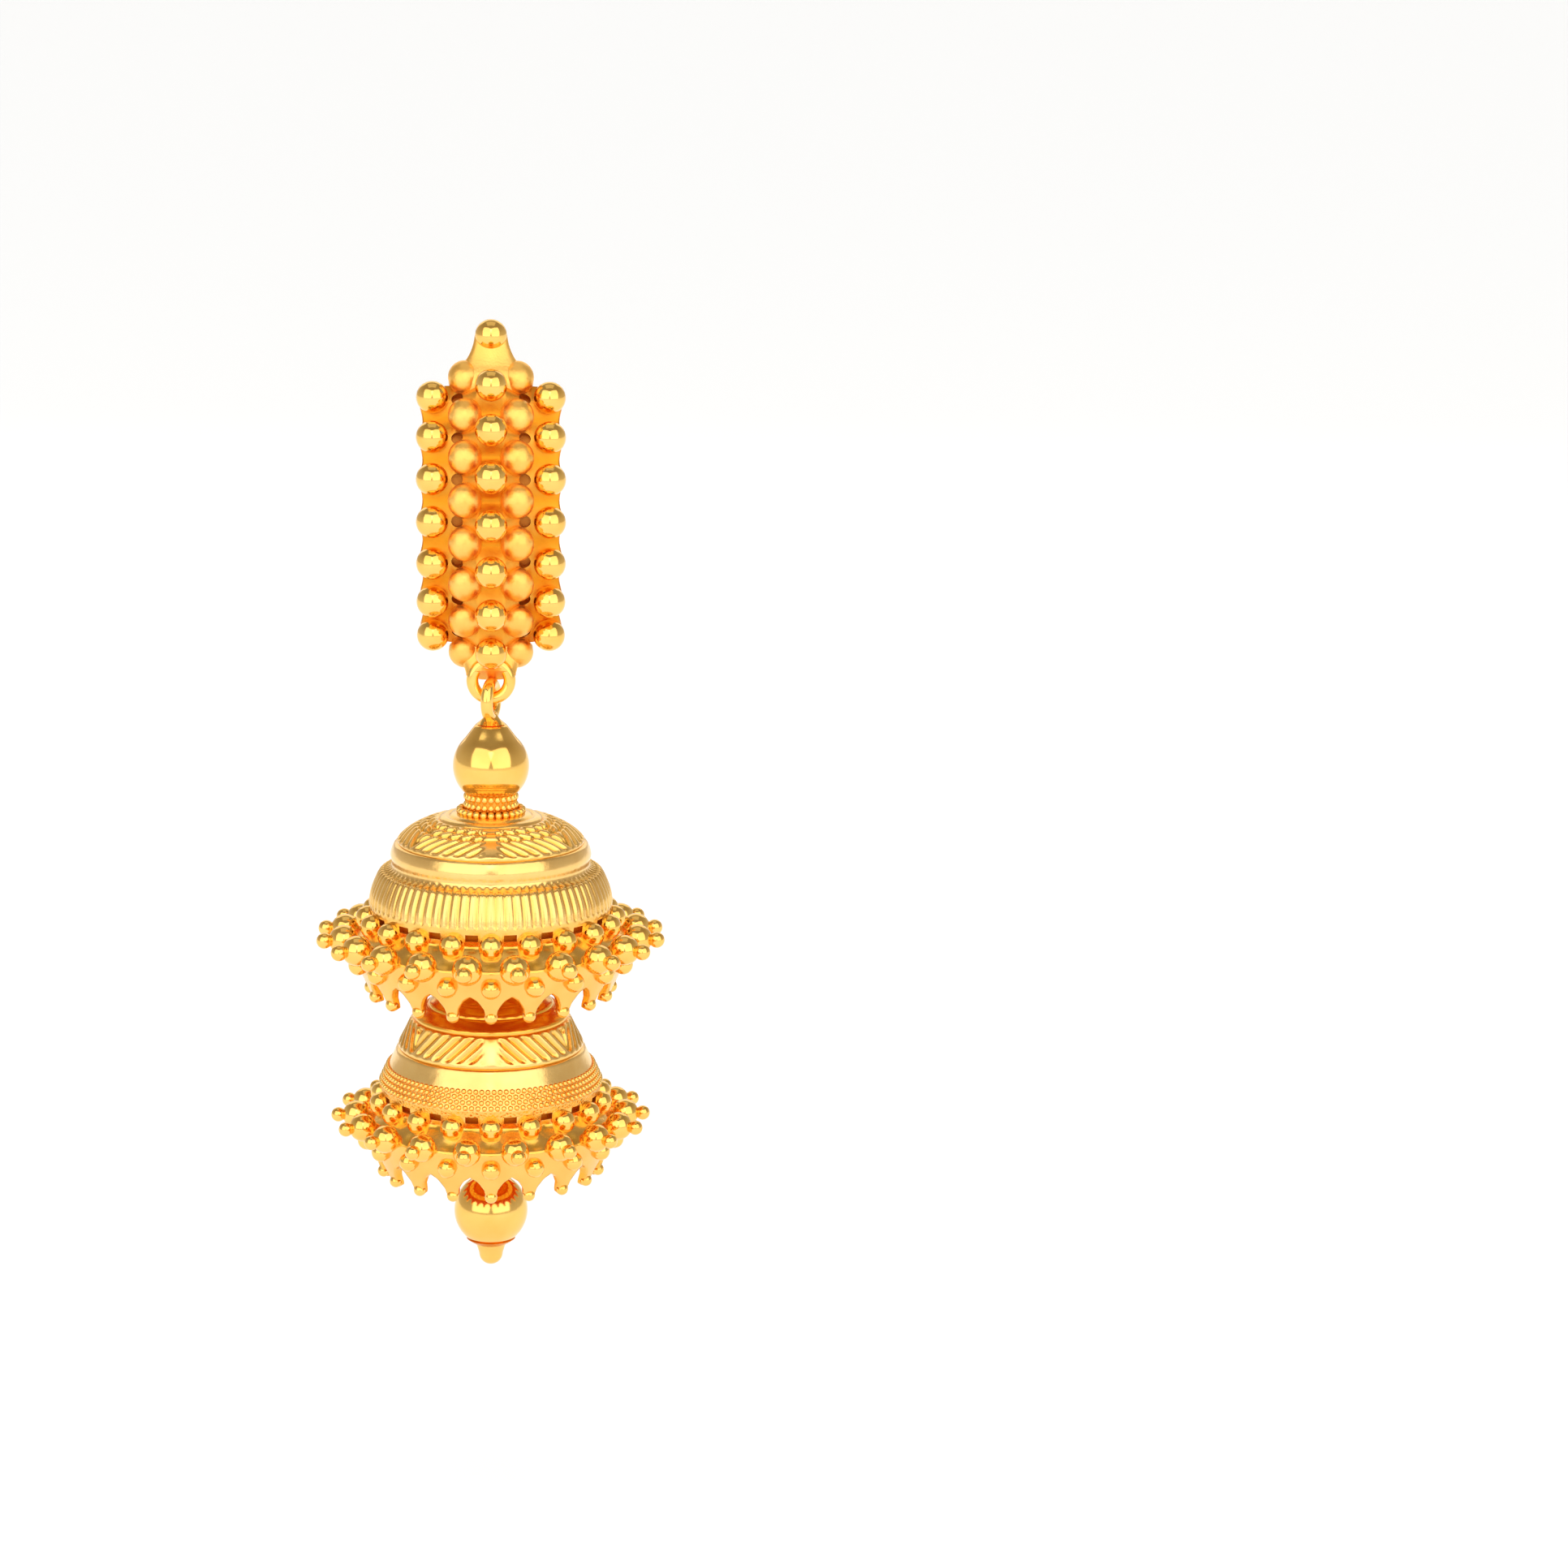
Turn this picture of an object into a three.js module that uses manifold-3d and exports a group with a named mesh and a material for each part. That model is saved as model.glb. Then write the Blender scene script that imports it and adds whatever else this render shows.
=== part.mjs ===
// A gold drop earring: a curved, granulated stud with an ear post, and a drop of two
// bells that hangs from the stud's ring and swings. Millimetres, +Z up.
// The front faces -Y and the post runs back along +Y.
// The origin is the post's flat seat on the back of the stud.

import * as THREE from "three";
import { mergeVertices } from "three/addons/utils/BufferGeometryUtils.js";
import Module from "manifold-3d";

const wasm = await Module();
wasm.setup();

// Stud plate, bent to an arc whose hollow back faces the ear
const BACK_RADIUS = 10.7;
const PLATE_WALL = 0.6;
const PLATE_HALF_WIDTH = 3.8;
const RIDGE_RISE = 1.0;
const RIDGE_HALF_WIDTH = 0.7;
const RIDGE_FOOT_HALF_WIDTH = 1.93;
const PLATE_OVERRUN_TURN = 4.5;

// Granules on the stud: rows are equal turns of the arc, in degrees
const STUD_ROWS = 7;
const ROW_TURN = 11.2;
const STUD_BEAD_RADIUS = 0.86;
const EDGE_BEAD_INSET = 0.68;
const EDGE_BEAD_SINK = 0.66;
const RIDGE_BEAD_SINK = 0.16;
const DOME_RADIUS = 0.9;
const DOME_OFFSET = 1.39;
const DOME_SINK = 0.45;
const STUD_HOLE_RADIUS = 0.31;
const STUD_HOLE_FLOOR = 0.22;
const STUD_HOLE_OFFSET = 1.8;

// Flared necks at both ends of the plate
const NECK_HALF_WIDTH = 2.45;
const NECK_DEPTH_SHARE = 0.5;
const TIP_TURN = 48.2;
const TIP_ARC_RADIUS = 12.9;

// Ear post and its seat
const POST_RISE = 4.444;
const POST_RADIUS = 0.45;
const POST_LENGTH = 11;
const POST_FOOT_RADIUS = 0.85;
const POST_FOOT_WALL = 0.35;
const POST_GROOVE_DEPTH = 0.1;
const SEAT_RADIUS = 0.95;
const SEAT_PROUD = 0.6;
const SEAT_GAP = 0.05;

// Ring of the stud and loop of the drop
const RING_TURN = -41.7;
const RING_ARC_RADIUS = 13.29;
const RING_RADIUS = 1.0;
const RING_WIRE_RADIUS = 0.33;
const LOOP_RADIUS = 0.9;
const LOOP_WIRE_RADIUS = 0.33;
const LOOP_GAP = 0.15;
const LOOP_YAW = 15;

// Head pin, its bores and the gaps in the stack that it carries
const PIN_RADIUS = 0.35;
const BORE_CLEARANCE = 0.08;
const STACK_GAP = 0.06;
const BLOB_RADIUS = 0.78;
const BLOB_HEIGHT = 0.62;

// Pieces of the drop, from the top down
const BALL_RADIUS = 2.07;
const BALL_NECK_RADIUS = 0.84;
const BALL_NECK_RISE = 2.25;
const COLLAR_RADIUS = 1.5;
const COLLAR_HEIGHT = 0.92;
const COLLAR_REEDS = 14;
const SPACER_RADIUS = 0.75;
const SLOT_WIDTH = 0.8;
const SLOT_HEIGHT = 0.36;
const BELL_STEP = 9.79;
const LOWER_BALL_RADIUS = 2.05;
const LOWER_BALL_DROP = 12.9;
const TIP_BEAD_RADIUS = 0.62;
const TIP_CONE_HEIGHT = 0.5;

// The two bells. wall is the sheet; radius and height are the dome's foot and depth;
// reach and drop are how far the skirt stands out and hangs below the dome's foot.
const UPPER_BELL = {
  columns: 20, wall: 0.45, radius: 6.64, height: 5.02, reach: 1.41, drop: 5.03,
  shoulderBead: 0.66, rimBead: 0.79, rimPearl: 0.44,
};
const LOWER_BELL = {
  columns: 18, wall: 0.45, radius: 6.05, height: 5.46, reach: 1.34, drop: 4.97,
  shoulderBead: 0.62, rimBead: 0.73, rimPearl: 0.4,
};

// Dome outlines: shares of the dome's radius (out) and height (down).
// The inner side of the sheet is smoother and follows only the rows marked inside.
const UPPER_DOME = [
  { out: 0.232, down: 0.02 },
  { out: 0.43, down: 0.075, inside: true },
  { out: 0.596, down: 0.156 },
  { out: 0.709, down: 0.246, inside: true },
  { out: 0.781, down: 0.346 },
  { out: 0.821, down: 0.48, inside: true },
  { out: 0.808, down: 0.6, inside: true },
  { out: 0.907, down: 0.665 },
  { out: 0.954, down: 0.776, inside: true },
  { out: 0.987, down: 0.899 },
  { out: 1, down: 1, inside: true },
];
const LOWER_DOME = [
  { out: 0.36, down: 0.072 },
  { out: 0.553, down: 0.169, inside: true },
  { out: 0.633, down: 0.234 },
  { out: 0.724, down: 0.339, inside: true },
  { out: 0.771, down: 0.444 },
  { out: 0.836, down: 0.589 },
  { out: 0.887, down: 0.726, inside: true },
  { out: 0.945, down: 0.863 },
  { out: 1, down: 1, inside: true },
];

// Skirt outline from the dome's foot down: shares of the skirt's reach and drop
const SKIRT = [
  { out: -0.02, down: 0.05 },
  { out: -0.08, down: 0.215, inside: true },
  { out: 0.8, down: 0.43, inside: true },
  { out: 0.04, down: 0.97, inside: true },
];

// Rows on the skirt: phase 0 puts one at the front, 0.5 puts two beside the front
const SHOULDER_ROW = { out: 0.04, down: 0.205, phase: 0, sides: 8, stacks: 4 };
const RIM_ROW = { out: 1, down: 0.388, phase: 0.5, sides: 8, stacks: 4 };
const SLOT_ROW = { out: -0.12, down: 0.115, phase: 0.5 };

// Pointed arch of the hem: shares of a column's width and of the skirt's drop
const ARCH = [
  { across: 0.34, down: 1.04 },
  { across: 0.32, down: 0.88 },
  { across: 0.19, down: 0.78 },
  { across: 0, down: 0.72 },
];

// Turns of each granule and of a bell's sheet, in radians, that keep their edges apart
const GRANULE_TWIST = 0.17;
const GRANULE_TILT = 0.06;
const SHEET_TWIST = 0.045;

// Slivers left by joins and cuts that move the surface less than this are merged
const CUT_TOLERANCE = 0.02;

const GOLD = { color: 0xe9b84a, roughness: 0.18, metalness: 1 };
const SATIN_GOLD = { color: 0xe0a83c, roughness: 0.42, metalness: 1 };

const degrees = THREE.MathUtils.degToRad;

// Solids: a closed three.js geometry becomes a solid for joins and cuts, and back

function solidOf(geometry) {
  const bare = geometry.clone();
  bare.deleteAttribute("normal");
  bare.deleteAttribute("uv");
  const merged = mergeVertices(bare, 1e-4);
  const position = merged.attributes.position;
  const triangles = [];
  let volume = 0;
  const [a, b, c] = [new THREE.Vector3(), new THREE.Vector3(), new THREE.Vector3()];
  for (let i = 0; i < merged.index.count; i += 3) {
    const corners = [0, 1, 2].map((k) => merged.index.getX(i + k));
    if (new Set(corners).size < 3) continue;
    triangles.push(...corners);
    [a, b, c].forEach((corner, k) => corner.fromBufferAttribute(position, corners[k]));
    volume += a.dot(b.cross(c));
  }
  if (volume < 0) triangles.reverse();
  return new wasm.Manifold(new wasm.Mesh({
    numProp: 3,
    vertProperties: new Float32Array(position.array),
    triVerts: new Uint32Array(triangles),
  }));
}

function geometryOf(solid) {
  const mesh = solid.asOriginal().simplify(CUT_TOLERANCE).getMesh();
  const geometry = new THREE.BufferGeometry();
  geometry.setAttribute("position", new THREE.BufferAttribute(mesh.vertProperties.slice(), 3));
  geometry.setIndex(Array.from(mesh.triVerts));
  geometry.computeVertexNormals();
  return geometry;
}

function join(geometries) {
  return geometries.map(solidOf).reduce((whole, next) => whole.add(next));
}

// A turned piece about Z; points are [radius, height]
function turned(points, sides) {
  const profile = points.map(([radius, height]) => new THREE.Vector2(radius, height));
  return new THREE.LatheGeometry(profile, sides).rotateX(Math.PI / 2);
}

// Granules are turned a little, so that none of their edges lies along one of the sheet
function ball(radius, sides, stacks) {
  return new THREE.SphereGeometry(radius, sides, stacks)
    .rotateX(Math.PI / 2 + GRANULE_TILT)
    .rotateZ(GRANULE_TWIST);
}

// A torus of round wire that stands upright, with its hole along Y
function wireRing(radius, wireRadius) {
  return new THREE.TorusGeometry(radius, wireRadius, 6, 16).rotateX(Math.PI / 2);
}

// Places that the stud and the drop share

const plateTop = BACK_RADIUS + PLATE_WALL;
const arcCentre = new THREE.Vector3(
  0, Math.sqrt(BACK_RADIUS ** 2 - POST_RISE ** 2) - SEAT_PROUD, -POST_RISE);

// Point at a turn of the arc above the level, out from its centre and to the side
function onArc(turn, radius, side = 0) {
  return new THREE.Vector3(
    side,
    arcCentre.y - radius * Math.cos(degrees(turn)),
    arcCentre.z + radius * Math.sin(degrees(turn)),
  );
}

const ringCentre = onArc(RING_TURN, RING_ARC_RADIUS);
const pivot = new THREE.Vector3(0, ringCentre.y, ringCentre.z - RING_RADIUS);
const loopCentre = pivot.z + RING_WIRE_RADIUS + LOOP_WIRE_RADIUS + LOOP_GAP - LOOP_RADIUS;
const blobBottom = loopCentre - LOOP_RADIUS - LOOP_WIRE_RADIUS - SEAT_GAP;
const boreRadius = PIN_RADIUS + BORE_CLEARANCE;

// Stud

function plateSolid() {
  const section = [
    [0, plateTop + RIDGE_RISE],
    [RIDGE_HALF_WIDTH, plateTop + RIDGE_RISE],
    [RIDGE_FOOT_HALF_WIDTH, plateTop],
    [PLATE_HALF_WIDTH, plateTop],
    [PLATE_HALF_WIDTH, BACK_RADIUS],
  ];
  const mirrored = section.slice(1).reverse().map(([x, radius]) => [-x, radius]);
  const closed = [...section, ...mirrored, section[0]];
  const profile = closed.map(([x, radius]) => new THREE.Vector2(radius, x));
  const hoop = new THREE.LatheGeometry(profile, 96)
    .rotateZ(-Math.PI / 2)
    .translate(0, arcCentre.y, arcCentre.z);
  const endTurn = ((STUD_ROWS - 1) / 2) * ROW_TURN + PLATE_OVERRUN_TURN;
  const reach = 2 * plateTop;
  const wedge = new THREE.Shape([
    new THREE.Vector2(0, 0),
    new THREE.Vector2(reach, -reach * Math.tan(degrees(endTurn))),
    new THREE.Vector2(reach, reach * Math.tan(degrees(endTurn))),
  ]);
  const forwardUpLeft = new THREE.Matrix4().makeBasis(
    new THREE.Vector3(0, -1, 0), new THREE.Vector3(0, 0, 1), new THREE.Vector3(-1, 0, 0));
  const depth = 4 * PLATE_HALF_WIDTH;
  const sector = new THREE.ExtrudeGeometry(wedge, { depth, bevelEnabled: false })
    .translate(0, 0, -depth / 2)
    .applyMatrix4(forwardUpLeft)
    .translate(0, arcCentre.y, arcCentre.z);
  return solidOf(hoop).intersect(solidOf(sector));
}

// A flared neck from the plate's end to a point further along the arc
function neck(from, to, endRadius) {
  const length = from.distanceTo(to);
  const flare = [
    { width: 1, along: -0.25 },
    { width: 1, along: 0.05 },
    { width: 0.62, along: 0.3 },
    { width: 0.3, along: 0.55 },
    { width: 0, along: 1 },
  ];
  const points = flare.map(({ width, along }) => [
    endRadius + (NECK_HALF_WIDTH - endRadius) * width, length * along]);
  const cone = turned([[0, points[0][1]], ...points, [0, length]], 12);
  cone.scale(1, NECK_DEPTH_SHARE, 1);
  const direction = to.clone().sub(from).normalize();
  const turn = new THREE.Quaternion().setFromUnitVectors(new THREE.Vector3(0, 0, 1), direction);
  return cone.applyQuaternion(turn).translate(from.x, from.y, from.z);
}

function studGranules() {
  const granules = [];
  const put = (radius, sides, stacks, turn, arcRadius, side) => {
    const place = onArc(turn, arcRadius, side);
    granules.push(ball(radius, sides, stacks).translate(place.x, place.y, place.z));
  };
  const half = (STUD_ROWS - 1) / 2;
  const ridgeBead = plateTop + RIDGE_RISE + STUD_BEAD_RADIUS - RIDGE_BEAD_SINK;
  const edgeBead = plateTop + STUD_BEAD_RADIUS - EDGE_BEAD_SINK;
  const edgeSide = PLATE_HALF_WIDTH - EDGE_BEAD_INSET;
  const dome = plateTop + DOME_RADIUS - DOME_SINK;
  for (let row = -half; row <= half; row += 1) {
    put(STUD_BEAD_RADIUS, 10, 4, row * ROW_TURN, ridgeBead, 0);
    for (const hand of [-1, 1]) {
      put(STUD_BEAD_RADIUS, 10, 4, row * ROW_TURN, edgeBead, hand * edgeSide);
    }
  }
  for (let row = -half - 0.5; row <= half + 0.5; row += 1) {
    for (const hand of [-1, 1]) {
      put(DOME_RADIUS, 8, 3, row * ROW_TURN, dome, hand * DOME_OFFSET);
    }
  }
  put(STUD_BEAD_RADIUS, 10, 4, TIP_TURN, TIP_ARC_RADIUS, 0);
  return granules;
}

// Blind holes: the sheet keeps a floor behind each of them
function studHoles() {
  const holes = [];
  const depth = 2 * RIDGE_RISE;
  const half = (STUD_ROWS - 1) / 2;
  for (let row = -half; row <= half; row += 1) {
    for (const hand of [-1, 1]) {
      const place = onArc(
        row * ROW_TURN, BACK_RADIUS + STUD_HOLE_FLOOR + depth / 2, hand * STUD_HOLE_OFFSET);
      holes.push(new THREE.CylinderGeometry(STUD_HOLE_RADIUS, STUD_HOLE_RADIUS, depth, 6)
        .rotateX(-degrees(row * ROW_TURN))
        .translate(place.x, place.y, place.z));
    }
  }
  return holes;
}

function studPlate() {
  const endTurn = (STUD_ROWS / 2) * ROW_TURN;
  const neckBase = plateTop + PLATE_WALL / 2;
  const seat = new THREE.CylinderGeometry(SEAT_RADIUS, SEAT_RADIUS, 2 * SEAT_PROUD, 12)
    .translate(0, -SEAT_PROUD, 0);
  const ring = wireRing(RING_RADIUS, RING_WIRE_RADIUS)
    .translate(ringCentre.x, ringCentre.y, ringCentre.z);
  const ringTop = ringCentre.clone();
  ringTop.z += RING_RADIUS;
  const joined = join([
    ...studGranules(),
    seat,
    ring,
    neck(onArc(endTurn, neckBase), onArc(TIP_TURN, TIP_ARC_RADIUS), STUD_BEAD_RADIUS),
    neck(onArc(-endTurn, neckBase), ringTop, RING_RADIUS),
  ]);
  return plateSolid().add(joined).subtract(join(studHoles()));
}

function earPost() {
  const start = SEAT_GAP;
  const end = SEAT_GAP + POST_LENGTH;
  const groove = end - 2;
  const grooveRadius = POST_RADIUS - POST_GROOVE_DEPTH;
  return turned([
    [0, start],
    [POST_FOOT_RADIUS, start],
    [POST_FOOT_RADIUS, start + POST_FOOT_WALL],
    [POST_RADIUS, start + 2 * POST_FOOT_WALL],
    [POST_RADIUS, groove - POST_RADIUS],
    [grooveRadius, groove - POST_RADIUS / 2],
    [grooveRadius, groove + POST_RADIUS / 2],
    [POST_RADIUS, groove + POST_RADIUS],
    [POST_RADIUS, end - POST_RADIUS / 2],
    [POST_RADIUS / 2, end],
    [0, end],
  ], 12).rotateX(-Math.PI / 2);
}

// Drop: every piece is made about the Z axis, at the heights below

const ballTop = blobBottom - STACK_GAP;
const ballCentre = ballTop - BALL_NECK_RISE;
const collarFit = COLLAR_RADIUS + 0.02;
const ballBottom = ballCentre - Math.sqrt(BALL_RADIUS ** 2 - collarFit ** 2);
const collarTop = ballBottom - STACK_GAP;
const upperCrown = collarTop - COLLAR_HEIGHT - STACK_GAP;
const lowerCrown = upperCrown - BELL_STEP;
const lowerBallCentre = lowerCrown - LOWER_BALL_DROP;
const lowerBallFlat = 2 * boreRadius;
const lowerBallHalf = Math.sqrt(LOWER_BALL_RADIUS ** 2 - lowerBallFlat ** 2);
const tipTop = lowerBallCentre - lowerBallHalf - STACK_GAP;
const tipCentre = tipTop - TIP_CONE_HEIGHT;

// Arc of a ball's outline between two heights above its centre, from the top down
function ballOutline(radius, centre, high, low, steps) {
  const [from, to] = [Math.acos(high / radius), Math.acos(low / radius)];
  return Array.from({ length: steps + 1 }, (_, step) => {
    const angle = from + ((to - from) * step) / steps;
    return [radius * Math.sin(angle), centre + radius * Math.cos(angle)];
  });
}

function headPin() {
  const bottom = tipCentre;
  const loop = wireRing(LOOP_RADIUS, LOOP_WIRE_RADIUS)
    .rotateZ(Math.PI / 2 - degrees(LOOP_YAW))
    .translate(0, 0, loopCentre);
  const shaft = turned([
    [0, bottom],
    [PIN_RADIUS, bottom],
    [PIN_RADIUS, blobBottom],
    [BLOB_RADIUS, blobBottom],
    [BLOB_RADIUS, blobBottom + BLOB_HEIGHT * 0.35],
    [BLOB_RADIUS * 0.62, blobBottom + BLOB_HEIGHT * 0.8],
    [0, blobBottom + BLOB_HEIGHT],
  ], 12);
  return join([shaft, loop]);
}

function bored(points, sides) {
  const first = points[0];
  const last = points[points.length - 1];
  return turned([[boreRadius, first[1]], ...points, [boreRadius, last[1]],
    [boreRadius, first[1]]], sides);
}

function upperBall() {
  const shoulder = 0.72 * BALL_RADIUS;
  const outline = ballOutline(
    BALL_RADIUS, ballCentre, shoulder, ballBottom - ballCentre, 8);
  return bored([
    [BALL_NECK_RADIUS, ballTop],
    [BALL_NECK_RADIUS * 1.28, ballTop - (BALL_NECK_RISE - shoulder) * 0.5],
    ...outline,
  ], 16);
}

// Reeded sleeve: its outline steps in and out once for each reed
function collar() {
  const shape = new THREE.Shape();
  for (let reed = 0; reed < 2 * COLLAR_REEDS; reed += 1) {
    const angle = (reed * Math.PI) / COLLAR_REEDS;
    const radius = reed % 2 ? COLLAR_RADIUS * 0.93 : COLLAR_RADIUS;
    const [x, y] = [radius * Math.cos(angle), radius * Math.sin(angle)];
    if (reed) shape.lineTo(x, y);
    else shape.moveTo(x, y);
  }
  shape.holes.push(new THREE.Path().absarc(0, 0, boreRadius, 0, 2 * Math.PI, true));
  return new THREE.ExtrudeGeometry(shape, {
    depth: COLLAR_HEIGHT, bevelEnabled: false, curveSegments: 10,
  }).translate(0, 0, collarTop - COLLAR_HEIGHT);
}

function spacer(top, bottom) {
  return bored([[SPACER_RADIUS, top], [SPACER_RADIUS, bottom]], 12);
}

// Inner side of a sheet whose outer outline runs from the crown down to the hem
function insideOf(outline, wall) {
  return outline.map(([radius, height], i) => {
    const before = outline[Math.max(i - 1, 0)];
    const after = outline[Math.min(i + 1, outline.length - 1)];
    const [dr, dz] = [after[0] - before[0], after[1] - before[1]];
    const length = Math.hypot(dr, dz);
    return [radius + (dz / length) * wall, height - (dr / length) * wall];
  });
}

function bell(size, dome, crown) {
  const foot = crown - size.height;
  const skirtAt = ({ out, down }) => [size.radius + out * size.reach, foot - down * size.drop];
  const outer = [
    ...dome.map(({ out, down }) => [out * size.radius, crown - down * size.height]),
    ...SKIRT.map(skirtAt),
  ];
  const rows = [...dome, ...SKIRT];
  const inner = insideOf(outer, size.wall).filter((_, i) => rows[i].inside).reverse();
  const sheet = turned([
    [boreRadius, crown],
    ...outer,
    ...inner,
    [SPACER_RADIUS + BORE_CLEARANCE, crown - size.wall],
    [boreRadius, crown - size.wall],
    [boreRadius, crown],
  ], 2 * size.columns).rotateZ(SHEET_TWIST);

  const pitch = (2 * Math.PI) / size.columns;
  const around = (row, shape) => Array.from({ length: size.columns }, (_, column) => {
    const [radius, height] = skirtAt(row);
    return shape.clone()
      .translate(0, -radius, height)
      .rotateZ((column + row.phase) * pitch);
  });
  const granules = (row, radius) => around(row, ball(radius, row.sides, row.stacks));
  const pearls = around(RIM_ROW, ball(size.rimPearl, 6, 3)
    .translate(0, -size.rimBead - size.rimPearl * 0.55, 0));
  const raised = join([
    ...granules(SHOULDER_ROW, size.shoulderBead),
    ...granules(RIM_ROW, size.rimBead),
    ...pearls,
  ]);

  // Blind slots: the cutter stands outwards, so that the sheet keeps a floor behind each
  const slot = new THREE.BoxGeometry(SLOT_WIDTH, 3 * size.wall, SLOT_HEIGHT)
    .translate(0, -size.wall, 0);
  const column = (2 * Math.PI * size.radius) / size.columns;
  const corner = (hand) => ({ across, down }) =>
    new THREE.Vector2(hand * across * column, foot - down * size.drop);
  const arch = new THREE.ExtrudeGeometry(
    new THREE.Shape([...ARCH.map(corner(1)), ...ARCH.slice(0, -1).reverse().map(corner(-1))]),
    { depth: size.radius + 3 * size.reach, bevelEnabled: false },
  ).rotateX(Math.PI / 2);
  const arches = Array.from({ length: size.columns }, (_, i) =>
    arch.clone().rotateZ((i + 0.5) * pitch));
  return solidOf(sheet).add(raised)
    .subtract(join([...around(SLOT_ROW, slot), ...arches]));
}

function lowerBall() {
  return bored(
    ballOutline(LOWER_BALL_RADIUS, lowerBallCentre, lowerBallHalf, -lowerBallHalf, 9), 16);
}

// Closes the pin's end: a small cone under the ball and a round bead below it
function tipBead() {
  const bore = tipCentre - STACK_GAP;
  return turned([
    [boreRadius, tipTop],
    [lowerBallFlat, tipTop],
    ...ballOutline(TIP_BEAD_RADIUS, tipCentre, 0.2 * TIP_BEAD_RADIUS, -TIP_BEAD_RADIUS, 5)
      .slice(0, -1),
    [0, tipCentre - TIP_BEAD_RADIUS],
    [0, bore],
    [boreRadius, bore],
    [boreRadius, tipTop],
  ], 12);
}

// Assembly

const earring = new THREE.Group();
const drop = new THREE.Group();
drop.position.set(0, pivot.y, 0);
earring.add(drop);

function place(name, shape, finish, group) {
  const solid = shape.isBufferGeometry ? solidOf(shape) : shape;
  const mesh = new THREE.Mesh(geometryOf(solid), new THREE.MeshStandardMaterial(finish));
  mesh.name = name;
  group.add(mesh);
}

place("stud_plate", studPlate(), SATIN_GOLD, earring);
place("ear_post", earPost(), GOLD, earring);
place("head_pin", headPin(), GOLD, drop);
place("upper_ball", upperBall(), GOLD, drop);
place("collar", collar(), SATIN_GOLD, drop);
place("upper_bell", bell(UPPER_BELL, UPPER_DOME, upperCrown), GOLD, drop);
place("upper_spacer", spacer(
  upperCrown - UPPER_BELL.wall - STACK_GAP, lowerCrown + STACK_GAP), GOLD, drop);
place("lower_bell", bell(LOWER_BELL, LOWER_DOME, lowerCrown), GOLD, drop);
place("lower_spacer", spacer(
  lowerCrown - LOWER_BELL.wall - STACK_GAP, lowerBallCentre + lowerBallHalf + STACK_GAP), GOLD, drop);
place("lower_ball", lowerBall(), GOLD, drop);
place("tip_bead", tipBead(), GOLD, drop);

export default earring;
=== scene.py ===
"""A gold drop earring with two domed bells, dressed over its CAD frame.

The stud and the drop are built as classes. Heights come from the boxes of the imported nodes, and
the other sizes are the driving dimensions below, in millimetres. The drop hangs along Z, the
earring's face looks along -Y, and every mesh holds its own place.
"""

from __future__ import annotations

import logging
import math
from dataclasses import dataclass
from enum import Enum
from typing import Sequence

import bmesh
import bpy
import numpy as np
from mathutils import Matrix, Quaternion, Vector

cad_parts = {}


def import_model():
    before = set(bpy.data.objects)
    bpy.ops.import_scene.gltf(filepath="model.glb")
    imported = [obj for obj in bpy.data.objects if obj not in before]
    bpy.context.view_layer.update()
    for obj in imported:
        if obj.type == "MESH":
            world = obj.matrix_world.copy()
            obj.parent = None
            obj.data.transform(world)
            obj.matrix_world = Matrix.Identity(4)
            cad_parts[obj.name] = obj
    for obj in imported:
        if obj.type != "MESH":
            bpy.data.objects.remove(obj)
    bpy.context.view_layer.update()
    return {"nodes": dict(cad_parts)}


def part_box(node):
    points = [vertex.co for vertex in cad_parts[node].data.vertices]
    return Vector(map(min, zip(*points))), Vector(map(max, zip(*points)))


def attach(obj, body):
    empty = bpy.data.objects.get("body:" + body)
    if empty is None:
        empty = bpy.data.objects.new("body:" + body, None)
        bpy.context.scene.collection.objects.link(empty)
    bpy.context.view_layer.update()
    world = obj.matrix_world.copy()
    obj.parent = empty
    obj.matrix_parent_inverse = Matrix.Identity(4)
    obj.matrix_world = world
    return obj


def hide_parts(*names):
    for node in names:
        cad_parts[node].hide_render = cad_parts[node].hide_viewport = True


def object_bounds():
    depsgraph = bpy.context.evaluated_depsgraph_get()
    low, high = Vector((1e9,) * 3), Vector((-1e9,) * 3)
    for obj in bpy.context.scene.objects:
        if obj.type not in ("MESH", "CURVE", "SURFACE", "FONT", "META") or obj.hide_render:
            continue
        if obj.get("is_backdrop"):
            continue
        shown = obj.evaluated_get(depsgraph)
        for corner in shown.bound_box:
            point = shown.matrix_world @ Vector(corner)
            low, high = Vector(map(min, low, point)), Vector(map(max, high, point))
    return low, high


log = logging.getLogger("earring")

MM = 0.001
# This attribute darkens the gold towards orange-brown: mostly painted shade in pits, slots, hollows,
# insides and between beads, and a darker tone in the engraved grooves.
SHADE_AND_PATINA = "shade_and_patina"
SHADE_AND_PATINA_TONE = (0.96, 0.78, 0.3, 1.0)
WIDE_SIDES = 64
PLAIN_SIDES = 48
POST_SIDES = 40
FINE_SIDES = 14
RING_STEPS = 72
WIRE_STEPS = 24
TURNED_CREASE = 30
Outline = Sequence[tuple[float, float]]


class Body(Enum):
    """The two bodies of the frame."""

    STUD = "stud"
    DROP = "drop"


class Slot(Enum):
    """The record's finishes."""

    POLISHED = "polished_gold"
    ENGRAVED = "engraved_gold"
    SATIN = "satin_gold"


class Grain(Enum):
    """Small marks that the gold is left with."""

    BURNISHED = "burnished"
    FROSTED = "frosted"
    STIPPLED = "stippled"


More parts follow.
